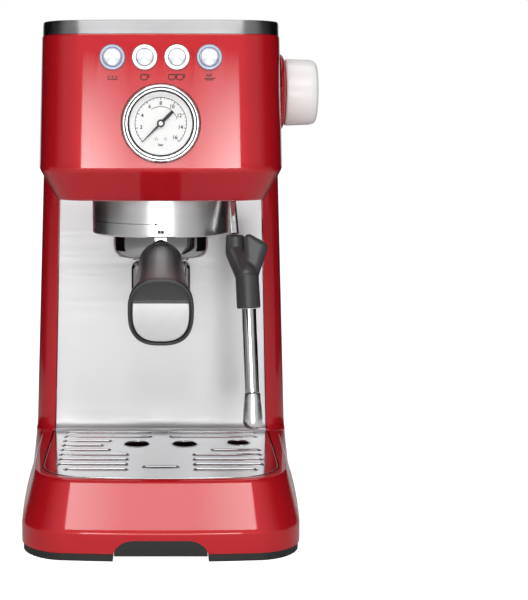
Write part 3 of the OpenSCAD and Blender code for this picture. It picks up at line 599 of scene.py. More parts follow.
steel_rim = steel_material("steel_rim", (12, 12, 1700), (0.27, 0.27, 0.275), (0.36, 0.36, 0.365),
                           0.28, 0.38, 0.08, smear=0.8)
RIM_LOW, RIM_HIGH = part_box("top_rim")[0].z / MM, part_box("top_rim")[1].z / MM
rim_steps = [(RIM_LOW, RIM_LOW, 1.0), (RIM_LOW + 0.3, RIM_LOW, 0.65), (RIM_HIGH - 1.3, RIM_HIGH, 0.62),
             (RIM_HIGH - 0.4, RIM_HIGH, 0.85), (RIM_HIGH, RIM_HIGH, 1.5), (RIM_HIGH, RIM_HIGH, 2.5),
             (RIM_HIGH - 0.6, RIM_HIGH, 3.15), (RIM_LOW, RIM_LOW, 3.2)]
rim_rings = [(z, head_outline(width_at, 0, inset)) for z, width_at, inset in rim_steps]
rim = new_piece("rim_band", loft_mesh("rim_band", rim_rings, closed_loop=True), "housing")
rim.data.shade_smooth()
rim.data.set_sharp_from_angle(angle=math.radians(40))
coat(rim, steel_rim)
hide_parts("top_rim")

# ---- Splash panel ---------------------------------------------------------------------------
# One stainless sheet 0.95 mm thick between the wings, brushed level, with a bend at its foot that runs
# onto the tray. It narrows upwards with the column.
steel_upright = steel_material("steel_sheet", (10, 10, 1700), (0.44, 0.44, 0.445), (0.53, 0.53, 0.535),
                               0.36, 0.46, 0.06, smear=0.8)
PANEL_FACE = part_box("splash_panel")[1].y / MM - 1.05
PANEL_LOW, PANEL_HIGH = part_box("splash_panel")[0].z / MM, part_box("splash_panel")[1].z / MM
BEND, BEND_LOW = 6.2, PANEL_LOW + 1.05
COLUMNS, ROWS = 16, 12
profile = []
for degrees in range(0, 91, 6):
    a = math.radians(degrees)
    profile.append((PANEL_FACE - BEND + BEND * math.sin(a), BEND_LOW + BEND - BEND * math.cos(a)))
flat_high = PANEL_HIGH - BEND_LOW - BEND
profile += [(PANEL_FACE, BEND_LOW + BEND + flat_high * i / ROWS) for i in range(1, ROWS + 1)]
panel_verts, panel_faces = [], []
for y, z in profile:
    half = 81.7 - (z - PANEL_LOW) * 4.8 / (PANEL_HIGH - PANEL_LOW)
    panel_verts += [(half * (2 * k / COLUMNS - 1) * MM, y * MM, z * MM) for k in range(COLUMNS + 1)]
for r in range(len(profile) - 1):
    a, b = r * (COLUMNS + 1), (r + 1) * (COLUMNS + 1)
    panel_faces += [(a + k, a + k + 1, b + k + 1, b + k) for k in range(COLUMNS)]
panel_mesh = bpy.data.meshes.new("splash_sheet")
panel_mesh.from_pydata(panel_verts, [], panel_faces)
panel = new_piece("splash_sheet", panel_mesh, "housing")
sheet = panel.modifiers.new("sheet", "SOLIDIFY")
sheet.thickness = 0.95 * MM
sheet.offset = -1
settle(panel)
panel.data.shade_smooth()
panel.data.set_sharp_from_angle(angle=math.radians(40))
coat(panel, steel_upright)
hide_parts("splash_panel")

# ---- Cup shelf and screws -------------------------------------------------------------------
# The cup shelf on top is a stainless pressing with drain holes, brushed from side to side.
# The case screws are bright steel.
steel_shelf = steel_material("steel_shelf", (1500, 18, 60), (0.50, 0.50, 0.51), (0.64, 0.64, 0.65),
                             0.26, 0.4, 0.3)
steel_polished = steel_material("steel_polished", (90, 90, 90), (0.66, 0.66, 0.67), (0.74, 0.74, 0.75),
                                0.06, 0.12, 0.03)
dress(steel_shelf, "cup_shelf")
dress(steel_polished, "case_screws", "screen_screw")

# ---- Drip grille ----------------------------------------------------------------------------
# A lid of polished stainless with rows of pressed slots round two spout holes and one wand hole.
# Each slot has a rolled lip that stands a little above the plate.
def slot_points(x0, x1, y, half=2.3, steps=10):
    right = [math.pi * (i / steps - 0.5) for i in range(steps + 1)]
    points = [(x1 - half + half * math.cos(a), y + half * math.sin(a)) for a in right]
    return points + [(x0 + half - half * math.cos(a), y - half * math.sin(a)) for a in right]


def joined(name, meshes):
    """One mesh out of several."""
    whole = bmesh.new()
    for mesh in meshes:
        whole.from_mesh(mesh)
    result = bpy.data.meshes.new(name)
    whole.to_mesh(result)
    whole.free()
    return result


GRILLE_LOW, GRILLE_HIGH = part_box("drip_grille")[0].z / MM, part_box("drip_grille")[1].z / MM
PITCH, FIRST = 13.75, -7.5
# Row number from the rear: where its slot starts and ends, counted outwards from the middle.
BOTH_SIDES = {0: (6.6, 72.6), 1: (6.6, 72.6), 4: (36.8, 72.4), 5: (23.1, 72.2), 6: (23.1, 72.2),
              7: (23.1, 72.2), 8: (23.1, 66.2)}
LEFT_ONLY = {2: (37, 72.4), 3: (42.5, 72.4)}
slots = []
for side in (-1, 1):
    rows = BOTH_SIDES | LEFT_ONLY if side < 0 else BOTH_SIDES
    for row, (near, far) in rows.items():
        ends = sorted((side * near, side * far))
        slots.append(slot_points(ends[0], ends[1], FIRST - PITCH * row))
slots.append(slot_points(-12.5, 12.5, FIRST - PITCH * 7.5))
AXIS_Y = middle("group_collar").y / MM
SPOUT_HOLES, WAND_HOLE = [(-17.7, AXIS_Y, 9.2), (17.7, AXIS_Y, 9.2)], (57.8, -40, 8.1)
slots += [circle_points(x, y, radius, 40) for x, y, radius in SPOUT_HOLES + [WAND_HOLE]]
plate_mesh = prism_mesh("drip_grille_plate", tray_outline(0.1), GRILLE_LOW, GRILLE_HIGH - 0.02)
grille = new_piece("drip_grille_plate", plate_mesh, "drip_grille")
cutters = [prism_mesh("slot", points, GRILLE_LOW - 1, GRILLE_HIGH + 1) for points in slots]
trim(grille, joined("slots", cutters))
soften(grille, 0.42, 40)
coat(grille, steel_polished)
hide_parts("drip_grille")


def slot_rim(points):
    """The rolled lip round a slot: a thin half-round bead standing a little above the plate."""
    count = len(points)
    rings = []
    for grow, z in ((0.05, -0.3), (0.2, 0.1), (0.75, 0.34), (1.3, 0.12), (1.5, -0.2)):
        ring = []
        for i, (x, y) in enumerate(points):
            before, after = points[i - 1], points[(i + 1) % count]
            tx, ty = after[0] - before[0], after[1] - before[1]
            size = math.hypot(tx, ty) or 1
            ring.append(((x + ty / size * grow) * MM, (y - tx / size * grow) * MM, (GRILLE_HIGH + z) * MM))
        rings.append(ring)
    mesh = bpy.data.meshes.new("slot_rim")
    mesh.from_pydata([p for ring in rings for p in ring], [], ring_faces(len(rings), count))
    return mesh


chrome = steel_material("chrome", (40, 40, 40), (0.78, 0.78, 0.79), (0.84, 0.84, 0.85), 0.03, 0.07)
rims_mesh = joined("slot_rims", [slot_rim(points) for points in slots])
rims = new_piece("slot_rims", rims_mesh, "drip_grille")
rims.data.shade_smooth()
coat(rims, chrome)

# ---- Brew group -----------------------------------------------------------------------------
# A ring of brushed stainless tube pressed round the cast bayonet ring, with an arrow and a lock printed
# on it. The group's body and the heater block are cast alloy, the seal is red rubber.
def lathe_mesh(name, profile, place, steps=128):
    """Turns a profile of (radius, height) in millimetres about the Z axis, then moves it by a matrix."""
    verts, faces = [], []
    rows = len(profile)
    for i in range(steps):
        a = 2 * math.pi * i / steps
        verts += [place @ Vector((r * MM * math.cos(a), r * MM * math.sin(a), h * MM)) for r, h in profile]
    for i in range(steps):
        for k in range(rows - 1):
            a, b = i * rows + k, (i + 1) % steps * rows + k
            faces.append((a, b, b + 1, a + 1))
    mesh = outward_mesh(name, verts, faces, weld=0.000002)
    mesh.shade_smooth()
    mesh.set_sharp_from_angle(angle=math.radians(38))
    return mesh


def rounded(points, radius, steps=4):
    """Rounds the inner corners of an open profile."""
    result = [points[0]]
    for before, corner, after in zip(points, points[1:], points[2:]):
        c, a, b = Vector(corner), Vector(before), Vector(after)
        reach = min(radius, (a - c).length * 0.45, (b - c).length * 0.45)
        start, end = c + (a - c).normalized() * reach, c + (b - c).normalized() * reach
        for i in range(steps + 1):
            t = i / steps
            p = start * (1 - t) ** 2 + c * 2 * t * (1 - t) + end * t * t
            result.append((p.x, p.y))
    return result + [points[-1]]


def turned_piece(name, profile, place, body_name, slot_name, material, *replaced, corner=0.6, steps=128):
    piece = new_piece(name, lathe_mesh(name, rounded(profile, corner), place, steps), body_name)
    coat(piece, material)
    if replaced:
        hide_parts(*replaced)
    return piece


AT_GROUP = Matrix.Translation((0, AXIS_Y * MM, 0))
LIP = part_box("group_collar")[0].z / MM
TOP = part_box("group_collar")[1].z / MM
collar_profile = [(48.02, TOP), (48.02, LIP + 0.4), (48.6, LIP), (49.3, LIP), (49.98, LIP + 0.8),
                  (49.98, TOP), (48.02, TOP)]
steel_collar = steel_material("steel_collar", (14, 14, 1900), (0.80, 0.80, 0.81), (0.93, 0.93, 0.94),
                              0.27, 0.34, 0.06, smear=0.2)
turned_piece("collar_ring", collar_profile, AT_GROUP, "housing", "stainless", steel_collar, "group_collar",
             corner=0.3, steps=192)

cast_metal = grained_material("cast_metal", (0.30, 0.30, 0.31), 0.45, 700, 0.3)
cast_metal.node_tree.nodes["Principled BSDF"].inputs["Metallic"].default_value = 0.9
dress(cast_metal, "group_head", "thermoblock")
dress(grained_material("seal_rubber", (0.20, 0.03, 0.025), 0.6, 600, 0.2), "group_seal")
steel_across = steel_material("steel_across", (14, 14, 1900), (0.60, 0.60, 0.61), (0.76, 0.76, 0.77),
                              0.20, 0.30, 0.06, smear=0.85)
dress(steel_across, "shower_screen", "filter_basket")
print_black = grained_material("print_black", (0.02, 0.02, 0.022), 0.5, 900, 0.05)


def printed(name, polygons, place, ink):
    """Thin printed marks on the housing: flat polygons, each point set in place by a function."""
    verts, faces = [], []
    for polygon in polygons:
        faces.append(tuple(range(len(verts), len(verts) + len(polygon))))
        verts += [place(x, y) for x, y in polygon]
    mesh = bpy.data.meshes.new(name)
    mesh.from_pydata(verts, [], faces)
    coat(new_piece(name, mesh, "housing"), ink)


def on_collar(angle, height):
    """A point of the print round the collar, by degrees from the front and millimetres up."""
    a = math.radians(angle)
    return (50.03 * math.sin(a) * MM, (AXIS_Y - 50.03 * math.cos(a)) * MM, height * MM)


def ribbon(pairs):
    """Quads along a strip whose points are given in pairs, one from each edge."""
    return [(pairs[i], pairs[i + 1], pairs[i + 3], pairs[i + 2]) for i in range(0, len(pairs) - 2, 2)]


LINE = LIP + 9.6
arrow_line = [(a, LINE + h) for a in range(-68, -1, 3) for h in (-0.18, 0.18)]
arrow_head = [(-5, LINE - 1.0), (-5, LINE + 1.0), (-1.2, LINE - 0.02), (-1.2, LINE + 0.02)]
lock_case = [(-2.6, LINE - 6.6), (-2.6, LINE - 4.2), (2.6, LINE - 6.6), (2.6, LINE - 4.2)]
bow_steps = ((-1.0, 0.0), (-0.95, 0.6), (-0.6, 0.95), (0, 1.1), (0.6, 0.95), (0.95, 0.6), (1.0, 0.0))
lock_bow = [(a * 1.5, LINE - 4.2 + h * b) for a, b in bow_steps for h in (1.5, 2.1)]
lock_quads = [quad for strip in (arrow_line, arrow_head, lock_case, lock_bow) for quad in ribbon(strip)]
printed("lock_marks", lock_quads, on_collar, print_black)

# ---- Portafilter bowl and spouts ------------------------------------------------------------
# A turned brass bowl with a twin spout screwed in below, chromed with a soft dark shine.
# The skin stands a little outside the bowl that is in the frame.
BOWL_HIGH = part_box("portafilter_bowl")[1].z / MM
BOWL_LOW = BOWL_HIGH - 28.7
bowl_profile = [(0.01, BOWL_LOW), (27.6, BOWL_LOW), (32.0, BOWL_LOW + 1.4), (34.3, BOWL_LOW + 4.6),
                (34.8, BOWL_LOW + 8.6), (34.8, BOWL_HIGH - 6), (34.0, BOWL_HIGH - 5.2), (33.8, BOWL_HIGH),
                (31.2, BOWL_HIGH), (31.2, BOWL_LOW + 3.5), (0.01, BOWL_LOW + 3.5)]
chrome_dark = steel_material("chrome_on_brass", (40, 40, 40), (0.50, 0.50, 0.51), (0.56, 0.56, 0.57),
                             0.05, 0.10)
turned_piece("bowl", bowl_profile, AT_GROUP, "portafilter", "chrome", chrome_dark, corner=1.6, steps=160)
dress(chrome_dark, "portafilter_spouts", "portafilter_bowl")

# ---- Portafilter handle ---------------------------------------------------------------------
# A black moulded handle that grows from a round neck to a rounded shield at its end. Its end plate is
# satin steel let into the end, and a glossy grey ring covers the joint with the bowl.
SLOPE, ROOT_HIGH = math.radians(10.4), 200.1
ALONG = Matrix.Translation((0, AXIS_Y * MM, ROOT_HIGH * MM)) @ Matrix.Rotation(math.pi / 2 + SLOPE, 4, "X")
SHIELD_ROUND = 2.65


def shield_ring(along, width, height, round_by, top=100):
    """A ring across the handle's axis: a rounded rectangle, cut off level above a top height."""
    points = []
    for i in range(96):
        a = 2 * math.pi * i / 96
        c, s = math.cos(a), math.sin(a)
        x = width / 2 * math.copysign(abs(c) ** (2 / round_by), c)
        y = height / 2 * math.copysign(abs(s) ** (2 / round_by), s)
        points.append(ALONG @ Vector((x * MM, min(y, top) * MM, along * MM)))
    return points


def skin_rings(name, rings):
    count = len(rings[0])
    faces = ring_faces(len(rings), count) + end_caps(len(rings), count)
    mesh = outward_mesh(name, [p for ring in rings for p in ring], faces)
    mesh.shade_smooth()
    mesh.set_sharp_from_angle(angle=math.radians(40))
    return mesh


handle_shape = [(46.7, 29.6, 29.6, 2.0), (47.3, 30.8, 30.8, 2.0), (50, 31.4, 31.4, 2.0),
                (60, 32.0, 32.0, 2.0), (80, 33.0, 33.8, 2.05), (100, 34.6, 35.9, 2.15),
                (120, 36.6, 38.6, 2.3), (136, 39.2, 41.6, 2.5), (146, 41.2, 43.6, 2.6),
                (149.9, 41.8, 44.4, SHIELD_ROUND), (151.9, 41.6, 44.2, SHIELD_ROUND),
                (152.8, 40.5, 43.1, SHIELD_ROUND), (152.9, 38.7, 41.3, SHIELD_ROUND),
                (152.5, 37.8, 40.4, SHIELD_ROUND), (149.2, 37.2, 39.8, SHIELD_ROUND)]
handle_mesh = skin_rings("handle_grip", [shield_ring(*size) for size in handle_shape])
grip = new_piece("handle_grip", handle_mesh, "portafilter")
coat(grip, grained_material("handle_plastic", (0.036, 0.036, 0.037), 0.32, 1200, 0.06))
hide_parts("portafilter_handle")

plate_shape = [(149.2, 36.0, 38.6), (151.9, 36.0, 38.6), (152.5, 35.4, 38.0), (152.7, 34.2, 36.8)]
plate_rings = [shield_ring(along, width, height, SHIELD_ROUND, height * 0.165)
               for along, width, height in plate_shape]
plate = new_piece("handle_end_plate", skin_rings("handle_end_plate", plate_rings), "portafilter")
plate_steel = steel_material("plate_steel", (60, 60, 60), (0.88, 0.88, 0.89), (0.95, 0.95, 0.96),
                             0.36, 0.42, 0.02)
coat(plate, plate_steel)
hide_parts("handle_plate")

ferrule = [(12, 42.1), (14.2, 42.1), (15.3, 43.2), (15.4, 44.6), (14.9, 45.0), (15.4, 45.4), (15.4, 46.5),
           (12, 46.5)]
ring_plastic = grained_material("ring_grey", (0.05, 0.05, 0.055), 0.22, 900, 0.05)
turned_piece("handle_ring", ferrule, ALONG, "portafilter", "black_plastic", ring_plastic, "handle_ferrule",
             corner=0.3)

# ---- Gauge bezel ----------------------------------------------------------------------------
# A pressed chrome bezel in two steps. Thin black rings in the groove between them, under the
# glass and behind the flange are painted shadow, dark where these edges fall into shade.
ON_FRONT = Matrix.Translation((GAUGE.x, FRONT * MM, GAUGE.z)) @ Matrix.Rotation(math.pi / 2, 4, "X")
bezel_profile = [(24.1, 0), (26.3, 0), (26.68, 0.4), (26.68, 2.6), (26.2, 3.7), (25.4, 4.1), (24.7, 4.1),
                 (24.5, 3.5)]
turned_piece("bezel_ring", bezel_profile, ON_FRONT, "housing", "chrome", chrome, "gauge_bezel",
             corner=0.3, steps=192)
step_profile = [(24.0, 3.2), (23.8, 3.8), (22.6, 3.8), (22.3, 3.2)]
turned_piece("bezel_step", step_profile, ON_FRONT, "housing", "chrome", chrome, corner=0.3, steps=192)
# Painted shadow: flat black rings in the bezel's groove, under the glass and behind the flange, standing in
# for the shade there.
shadow_ring_black = grained_material("shadow_ring_black", (0.012, 0.014, 0.015), 0.45, 900, 0.05)
shadow_rings = [("bezel_groove_shadow", [(24.75, 3.35), (23.75, 3.35)], 0.01),
           ("glass_shadow_ring", [(22.35, 3.3), (21.5, 3.0), (21.35, 0.8)], 0.1),
           ("bezel_skirt_shadow", [(26.72, 0.05), (27.15, 0.05), (27.2, -0.25)], 0.05)]
for shadow_ring_name, section, corner in shadow_rings:
    turned_piece(shadow_ring_name, section, ON_FRONT, "housing", "rubber", shadow_ring_black, corner=corner, steps=192)

# ---- Gauge dial -----------------------------------------------------------------------------
# A white enamelled plate with a printed scale from 0 to 16 bar behind a flat glass.
# The pointer is a black pressing on a white cap and stands at zero until the pump runs.
DIAL_BACK = -2.6
INK_HIGH, TEXT_HIGH = DIAL_BACK + 0.06, DIAL_BACK + 0.08
dial_white = grained_material("dial_white", (0.95, 0.95, 0.94), 0.5, 800, 0.03)
dial_profile = [(0.01, DIAL_BACK), (21.2, DIAL_BACK), (21.4, DIAL_BACK + 0.3), (21.4, 0.8)]
turned_piece("dial_plate", dial_profile, ON_FRONT, "housing", "dial_white", dial_white, "gauge_dial",
             corner=0.05)


def on_dial(x, y):
    return ON_FRONT @ Vector((x * MM, y * MM, INK_HIGH * MM))


def bar_angle(pressure):
    return math.radians(225 - 270 * pressure / 16)


def dial_arc(radius, width, start, end, steps=72):
    shapes = []
    for i in range(steps):
        a = bar_angle(start + (end - start) * i / steps)
        b = bar_angle(start + (end - start) * (i + 1) / steps)
        shapes.append([(r * math.cos(t), r * math.sin(t)) for r, t in
                       ((radius, a), (radius, b), (radius + width, b), (radius + width, a))])
    return shapes


def dial_tick(pressure, inner, outer, width):
    a = bar_angle(pressure)
    c, s = math.cos(a), math.sin(a)
    corners = ((inner, -width), (outer, -width), (outer, width), (inner, width))
    return [(reach * c + off * s, reach * s - off * c) for reach, off in corners]


scale_marks = dial_arc(17.3, 0.42, 0, 16)
for half_bar in range(33):
    start, width = (15.9, 0.24) if half_bar % 4 == 0 else (16.6, 0.16)
    scale_marks.append(dial_tick(half_bar / 2, start, 17.5, width))
scale_marks += dial_arc(11.2, 0.4, 6, 12.5, 36)
printed("dial_scale", scale_marks, on_dial, print_black)


def dial_text(name, words, x, y, size):
    curve = bpy.data.curves.new(name, "FONT")
    curve.body = words
    curve.size = size * MM
    curve.align_x, curve.align_y = "CENTER", "CENTER"
    curve.offset = 0.09 * MM
    label = bpy.data.objects.new(name, curve)
    bpy.context.collection.objects.link(label)
    label.matrix_world = ON_FRONT @ Matrix.Translation((x * MM, y * MM, TEXT_HIGH * MM))
    bpy.context.view_layer.update()
    graph = bpy.context.evaluated_depsgraph_get()
    mesh = bpy.data.meshes.new_from_object(label.evaluated_get(graph))
    mesh.transform(label.matrix_world)
    bpy.data.objects.remove(label)
    coat(new_piece(name, mesh, "housing"), print_black)


for pressure in range(2, 17, 2):
    a = bar_angle(pressure)
    dial_text(f"dial_number_{pressure}", str(pressure), 13.6 * math.cos(a), 13.6 * math.sin(a), 3.5)
dial_text("dial_unit", "bar", 0, -14.6, 2.6)
for side in (-1, 1):
    turns = [math.radians(22.5) * i for i in range(16)]
    ring = [[(r * math.cos(t) + side * 3.1, r * math.sin(t) - 10.6) for r, t in
             ((0.75, a), (0.75, a + 0.4), (1.0, a + 0.4), (1.0, a))] for a in turns]
    printed("dial_ring_left" if side < 0 else "dial_ring_right", ring, on_dial, print_black)
dress(print_black, "gauge_needle")
turned_piece("pointer_cap", [(0.01, -0.3), (1.4, -0.35), (2.4, -0.8), (2.5, -1.4)], ON_FRONT, "gauge_needle",
             "white_plastic", dial_white, corner=0.2, steps=48)
glass, glass_shader = plain_material("gauge_glass", (1, 1, 1), 0.0)
glass_shader.inputs["Transmission Weight"].default_value = 1.0
glass_shader.inputs["IOR"].default_value = 1.02
glass_shader.inputs["Alpha"].default_value = 0.12
dress(glass, "gauge_glass")

# ---- Buttons --------------------------------------------------------------------------------
# Four caps of turned metal, each in a ring of clear plastic over a lamp and clipped in from behind.
# The outer two stand dark with a pale blue ring, the inner two are lit.
def spun_material(name, dark, light):
    """Metal turned on a lathe, with painted reflection: wedges of light and dark that run out from the
    middle.
    """
    material, shader = plain_material(name, light, 0.42, 0.85)
    nodes, links = material.node_tree.nodes, material.node_tree.links
    place, parts = nodes.new("ShaderNodeTexCoord"), nodes.new("ShaderNodeSeparateXYZ")
    turn, wide, wave, grown = [nodes.new("ShaderNodeMath") for _ in range(4)]
    turn.operation, wide.operation = "ARCTAN2", "MULTIPLY"
    wave.operation, grown.operation = "SINE", "MULTIPLY_ADD"
    wide.inputs[1].default_value = 3.0
    grown.inputs[1].default_value = 1.6
    noise, mix = nodes.new("ShaderNodeTexNoise"), nodes.new("ShaderNodeMix")
    sheen_wedges = nodes.new("ShaderNodeMapRange")
    noise.noise_dimensions = "1D"
    noise.inputs["Scale"].default_value = 7
    noise.inputs["Detail"].default_value = 4
    mix.data_type = "RGBA"
    mix.inputs["A"].default_value = (*dark, 1)
    mix.inputs["B"].default_value = (*light, 1)
    sheen_wedges.inputs["From Min"].default_value = -0.4
    sheen_wedges.inputs["From Max"].default_value = 2.0
    links.new(place.outputs["Object"], parts.inputs["Vector"])
    links.new(parts.outputs["Y"], turn.inputs[0])
    links.new(parts.outputs["X"], turn.inputs[1])
    links.new(turn.outputs["Value"], wide.inputs[0])
    links.new(wide.outputs["Value"], wave.inputs[0])
    links.new(turn.outputs["Value"], noise.inputs["W"])
    links.new(noise.outputs["Fac"], grown.inputs[0])
    links.new(wave.outputs["Value"], grown.inputs[2])
    links.new(grown.outputs["Value"], sheen_wedges.inputs["Value"])
    links.new(sheen_wedges.outputs["Result"], mix.inputs["Factor"])
    links.new(mix.outputs["Result"], shader.inputs["Base Color"])
    return material


lit, lit_shader = plain_material("ring_lit", (0.95, 0.95, 0.90), 0.35)
lit_shader.inputs["Emission Color"].default_value = (1.0, 0.99, 0.93, 1)
lit_shader.inputs["Emission Strength"].default_value = 0.55
unlit = grained_material("ring_unlit", (0.52, 0.57, 0.74), 0.25, 900, 0.03, 0.5)
ring_navy = grained_material("ring_navy", (0.035, 0.06, 0.23), 0.3, 900, 0.03)
ring_grey = grained_material("ring_outline", (0.16, 0.16, 0.20), 0.4, 900, 0.03)
ring_white = grained_material("ring_white", (0.85, 0.86, 0.92), 0.4, 900, 0.03)
# Painted reflection: the caps' colour runs in wedges of light and dark, the sheen of turned metal.
cap_metal_sheen = spun_material("cap_metal_sheen", (0.46, 0.47, 0.50), (0.93, 0.94, 0.97))
CAP_PROFILE = [(0.01, 2.2), (4.2, 2.32), (5.3, 2.5), (5.78, 2.1), (5.78, -3.3)]
RING_BACK = -3.9
for button in BUTTONS:
    at = middle(button)
    at_button = Matrix.Translation((at.x, FRONT * MM, at.z)) @ Matrix.Rotation(math.pi / 2, 4, "X")
    cap = turned_piece(f"{button}_cap", CAP_PROFILE, Matrix.Identity(4), button, "chrome", cap_metal_sheen, button,
                       corner=0.3, steps=96)
    cap.matrix_world = at_button
    if button in ("button_one_cup", "button_two_cups"):
        gap_tone, inner_tone, glow_tone = ring_grey, lit, lit
    else:
        gap_tone, inner_tone, glow_tone = ring_white, ring_navy, unlit
    bands = [("gap", 5.82, 6.2, 1.30, gap_tone), ("inner", 6.2, 6.75, 1.30, inner_tone),
             ("glow", 6.75, 8.25, 1.35, glow_tone), ("edge", 8.25, 8.6, 1.4, ring_grey)]
    for part, inner, outer, height, material in bands:
        band = [(inner, RING_BACK), (inner, height), (outer, height), (outer, RING_BACK)]
        turned_piece(f"{button}_{part}", band, at_button, "housing", "lamp_plastic", material,
                     corner=0.08, steps=96)
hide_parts("light_rings")
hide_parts("button_rings")

# ---- Button icons ---------------------------------------------------------------------------
# Small plain pictures, pad printed in black on the lacquer under each button: three dots on a line,
# one cup, two cups, and vapour over a saucer.
icon_ink = grained_material("icon_ink", (0.012, 0.006, 0.008), 0.5, 900, 0.03)


def stroke(points, width):
    """Flat quads along a line of points."""
    quads = []
    for (x0, y0), (x1, y1) in zip(points, points[1:]):
        length = math.hypot(x1 - x0, y1 - y0) or 1
        nx, ny = -(y1 - y0) / length * width / 2, (x1 - x0) / length * width / 2
        quads.append([(x0 + nx, y0 + ny), (x0 - nx, y0 - ny), (x1 - nx, y1 - ny), (x1 + nx, y1 + ny)])
    return quads


def cup_strokes(x, with_handle=True):
    """A cup in outline, and its handle on the right."""
    half_turn = [math.pi * i / 12 for i in range(1, 12)]
    foot = [(x - 2.3 * math.cos(a), -0.4 - 1.6 * math.sin(a)) for a in half_turn]
    cup = [(x - 2.3, 1.7), (x - 2.3, -0.4)] + foot + [(x + 2.3, -0.4), (x + 2.3, 1.7), (x - 2.3, 1.7)]
    loop = [math.pi * i / 8 for i in range(9)]
    handle = [(x + 2.3 + 1.3 * math.sin(a), 0.55 + 0.9 * math.cos(a)) for a in loop]
    return stroke(cup, 0.72) + (stroke(handle, 0.66) if with_handle else [])


def icon(name, button, quads):
    """Prints an icon under its button, on the head's bowed front."""
    centre = middle(button) / MM

    def on_head(x, z):
        bow = 2 * min(((centre.x + x) / 57) ** 2, 1)
        return ((centre.x + x) * MM, (FRONT + bow - 0.06) * MM, (centre.z - 13.4 + z) * MM)

    printed(name, quads, on_head, icon_ink)


twelfths = [math.pi * k / 6 for k in range(12)]
dots = [[(x + 0.62 * math.cos(a), 0.2 + 0.62 * math.sin(a)) for a in twelfths] for x in (-2.6, 0, 2.6)]
icon("icon_program", "button_program", dots + stroke([(-3.4, -1.5), (3.4, -1.5)], 0.66))
icon("icon_one_cup", "button_one_cup", cup_strokes(-0.4))
icon("icon_two_cups", "button_two_cups", cup_strokes(-3.4, with_handle=False) + cup_strokes(2.0))
steam_lines = [[(x, 2.2), (x + 0.35, 1.5), (x - 0.35, 0.8), (x, 0.1)] for x in (-1.3, 0, 1.3)]
steam_lines += [[(-3.2, -1.0), (3.2, -1.0)], [(-2.4, -2.0), (2.4, -2.0)], [(3.2, -1.0), (4.2, -0.4)]]
icon("icon_steam", "button_steam", [quad for line in steam_lines for quad in stroke(line, 0.6)])

# ---- Steam knob -----------------------------------------------------------------------------
# A white moulded knob pressed on the valve spindle, with a round shoulder and a softly domed face.
# Behind it stands a red boss that is part of the coated side.
KNOB_BACK, KNOB_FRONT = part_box("steam_knob")[0].x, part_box("steam_knob")[1].x
ON_SIDE = Matrix.Translation((KNOB_BACK, KNOB.y, KNOB.z)) @ Matrix.Rotation(math.pi / 2, 4, "Y")
KNOB_FACE = (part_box("knob_boss")[1].x - KNOB_BACK) / MM + 0.4
KNOB_END = (KNOB_FRONT - KNOB_BACK) / MM
knob_profile = [(4, 2), (4, KNOB_FACE), (23.6, KNOB_FACE), (24.65, KNOB_FACE + 1.0), (24.0, KNOB_END - 5.5),
                (23.3, KNOB_END - 2.4), (21.4, KNOB_END - 0.5), (18.5, KNOB_END - 0.02),
                (0.01, KNOB_END - 0.02)]
BOSS_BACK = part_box("knob_boss")[0].x
ON_BOSS = Matrix.Translation((BOSS_BACK, KNOB.y, KNOB.z)) @ Matrix.Rotation(math.pi / 2, 4, "Y")
boss_profile = [(28.39, 0.0), (28.3, 0.7), (27.7, 1.7), (26.6, 2.6), (25.2, 3.2), (24.2, 3.55), (7, 3.55)]
turned_piece("boss_ring", boss_profile, ON_BOSS, "housing", "red", red_lacquer, "knob_boss",
             corner=0.5, steps=160)
white_satin = grained_material("white_satin", (0.94, 0.94, 0.93), 0.32, 1300, 0.05, 0.15)
turned_piece("knob_cap", knob_profile, ON_SIDE, "steam_knob", "white_plastic", white_satin, "steam_knob",
             corner=1.0)

# ---- Steam wand -----------------------------------------------------------------------------
# A chromed pipe that hangs in a ball, in a loose steel sleeve that ends in a bulb nozzle.
# The nozzle is screwed on and satin ground.
dress(chrome, "wand_ball", "wand_pipe")
dress(steel_polished, "wand_sleeve")
nozzle_low, nozzle_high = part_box("wand_nozzle")
nozzle_x = (nozzle_low.x + nozzle_high.x) / 2
tip = Vector((nozzle_x + 0.0003, nozzle_low.y + 0.0048, nozzle_low.z + 0.0001))
top = Vector((nozzle_x - 0.0001, nozzle_high.y - 0.0068, nozzle_high.z - 0.0003))
down = (tip - top).normalized()
ON_NOZZLE = Matrix.Translation(top) @ down.to_track_quat("Z", "X").to_matrix().to_4x4()
NOZZLE_LONG = (tip - top).length / MM
bulb_steps = [(3.6, 0), (5.5, 0), (5.9, 0.25), (6.5, 0.5), (6.9, 0.72), (6.75, 0.84), (5.9, 0.93),
              (4.0, 0.98), (2.0, 0.998), (0.01, 1)]
bulb = [(radius, NOZZLE_LONG * share) for radius, share in bulb_steps]
steel_satin = steel_material("steel_satin", (90, 90, 90), (0.84, 0.84, 0.85), (0.93, 0.93, 0.94),
                             0.20, 0.28, 0.03)
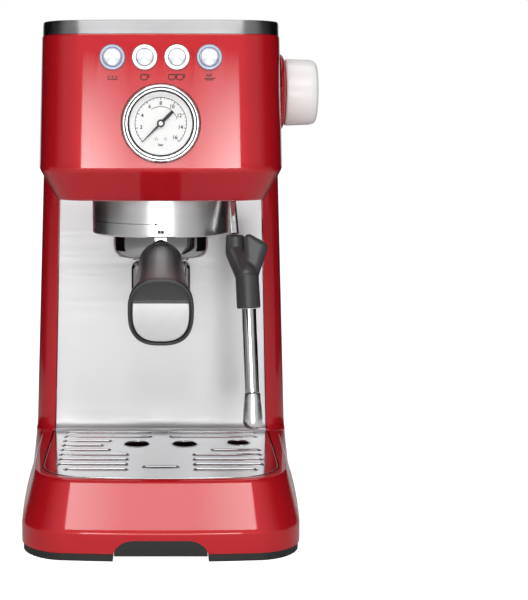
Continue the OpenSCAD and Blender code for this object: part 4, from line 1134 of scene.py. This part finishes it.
turned_piece("nozzle_bulb", bulb, ON_NOZZLE, "wand_arm", "stainless", steel_satin, "wand_nozzle",
             corner=1.2, steps=72)

# ---- Wand grip ------------------------------------------------------------------------------
# A moulded rubber grip with a thumb tab, pushed over the pipe. It is one soft shape, so the solids
# that build it in the frame are melted together and eased.
grip_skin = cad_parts["wand_grip"].data.copy()
grip_skin.transform(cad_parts["wand_grip"].matrix_world)
wand_grip = new_piece("wand_grip_skin", grip_skin, "wand_arm")
melt = wand_grip.modifiers.new("melt", "REMESH")
melt.mode = "VOXEL"
melt.voxel_size = 0.55 * MM
ease = wand_grip.modifiers.new("ease", "SMOOTH")
ease.factor = 0.6
ease.iterations = 14
settle(wand_grip)
wand_grip.data.shade_smooth()
coat(wand_grip, grained_material("grip_rubber", (0.050, 0.050, 0.052), 0.34, 1200, 0.06))
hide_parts("wand_grip")

# ---- Water tank -----------------------------------------------------------------------------
# The tank is blown from clear, slightly smoky plastic with an even wall.
# It hangs behind the column and lifts out upwards.
tank_clear, tank_shader = plain_material("tank_clear", (0.80, 0.86, 0.90), 0.08)
tank_shader.inputs["Transmission Weight"].default_value = 0.92
tank_shader.inputs["IOR"].default_value = 1.2
dress(tank_clear, "water_tank")

# ---- Inner parts ----------------------------------------------------------------------------
# Bought-in parts that are screwed to a frame of zinc-plated sheet: green circuit boards, a pump and
# valves in brass, and white hoses and flow meter.
dress(grained_material("board_green", (0.02, 0.12, 0.05), 0.4, 500, 0.1), "switch_board", "control_board")
brass = steel_material("brass", (60, 60, 60), (0.60, 0.42, 0.16), (0.72, 0.52, 0.22), 0.2, 0.32, 0.1)
dress(brass, "pump", "solenoid_valve", "steam_valve", "gauge_tube")
dress(grained_material("hose_white", (0.7, 0.7, 0.66), 0.45, 500, 0.1), "water_pipes", "flow_meter")
zinc_sheet = steel_material("zinc_sheet", (300, 300, 300), (0.42, 0.43, 0.44), (0.55, 0.56, 0.57),
                            0.3, 0.45, 0.1)
dress(zinc_sheet, "inner_frame")
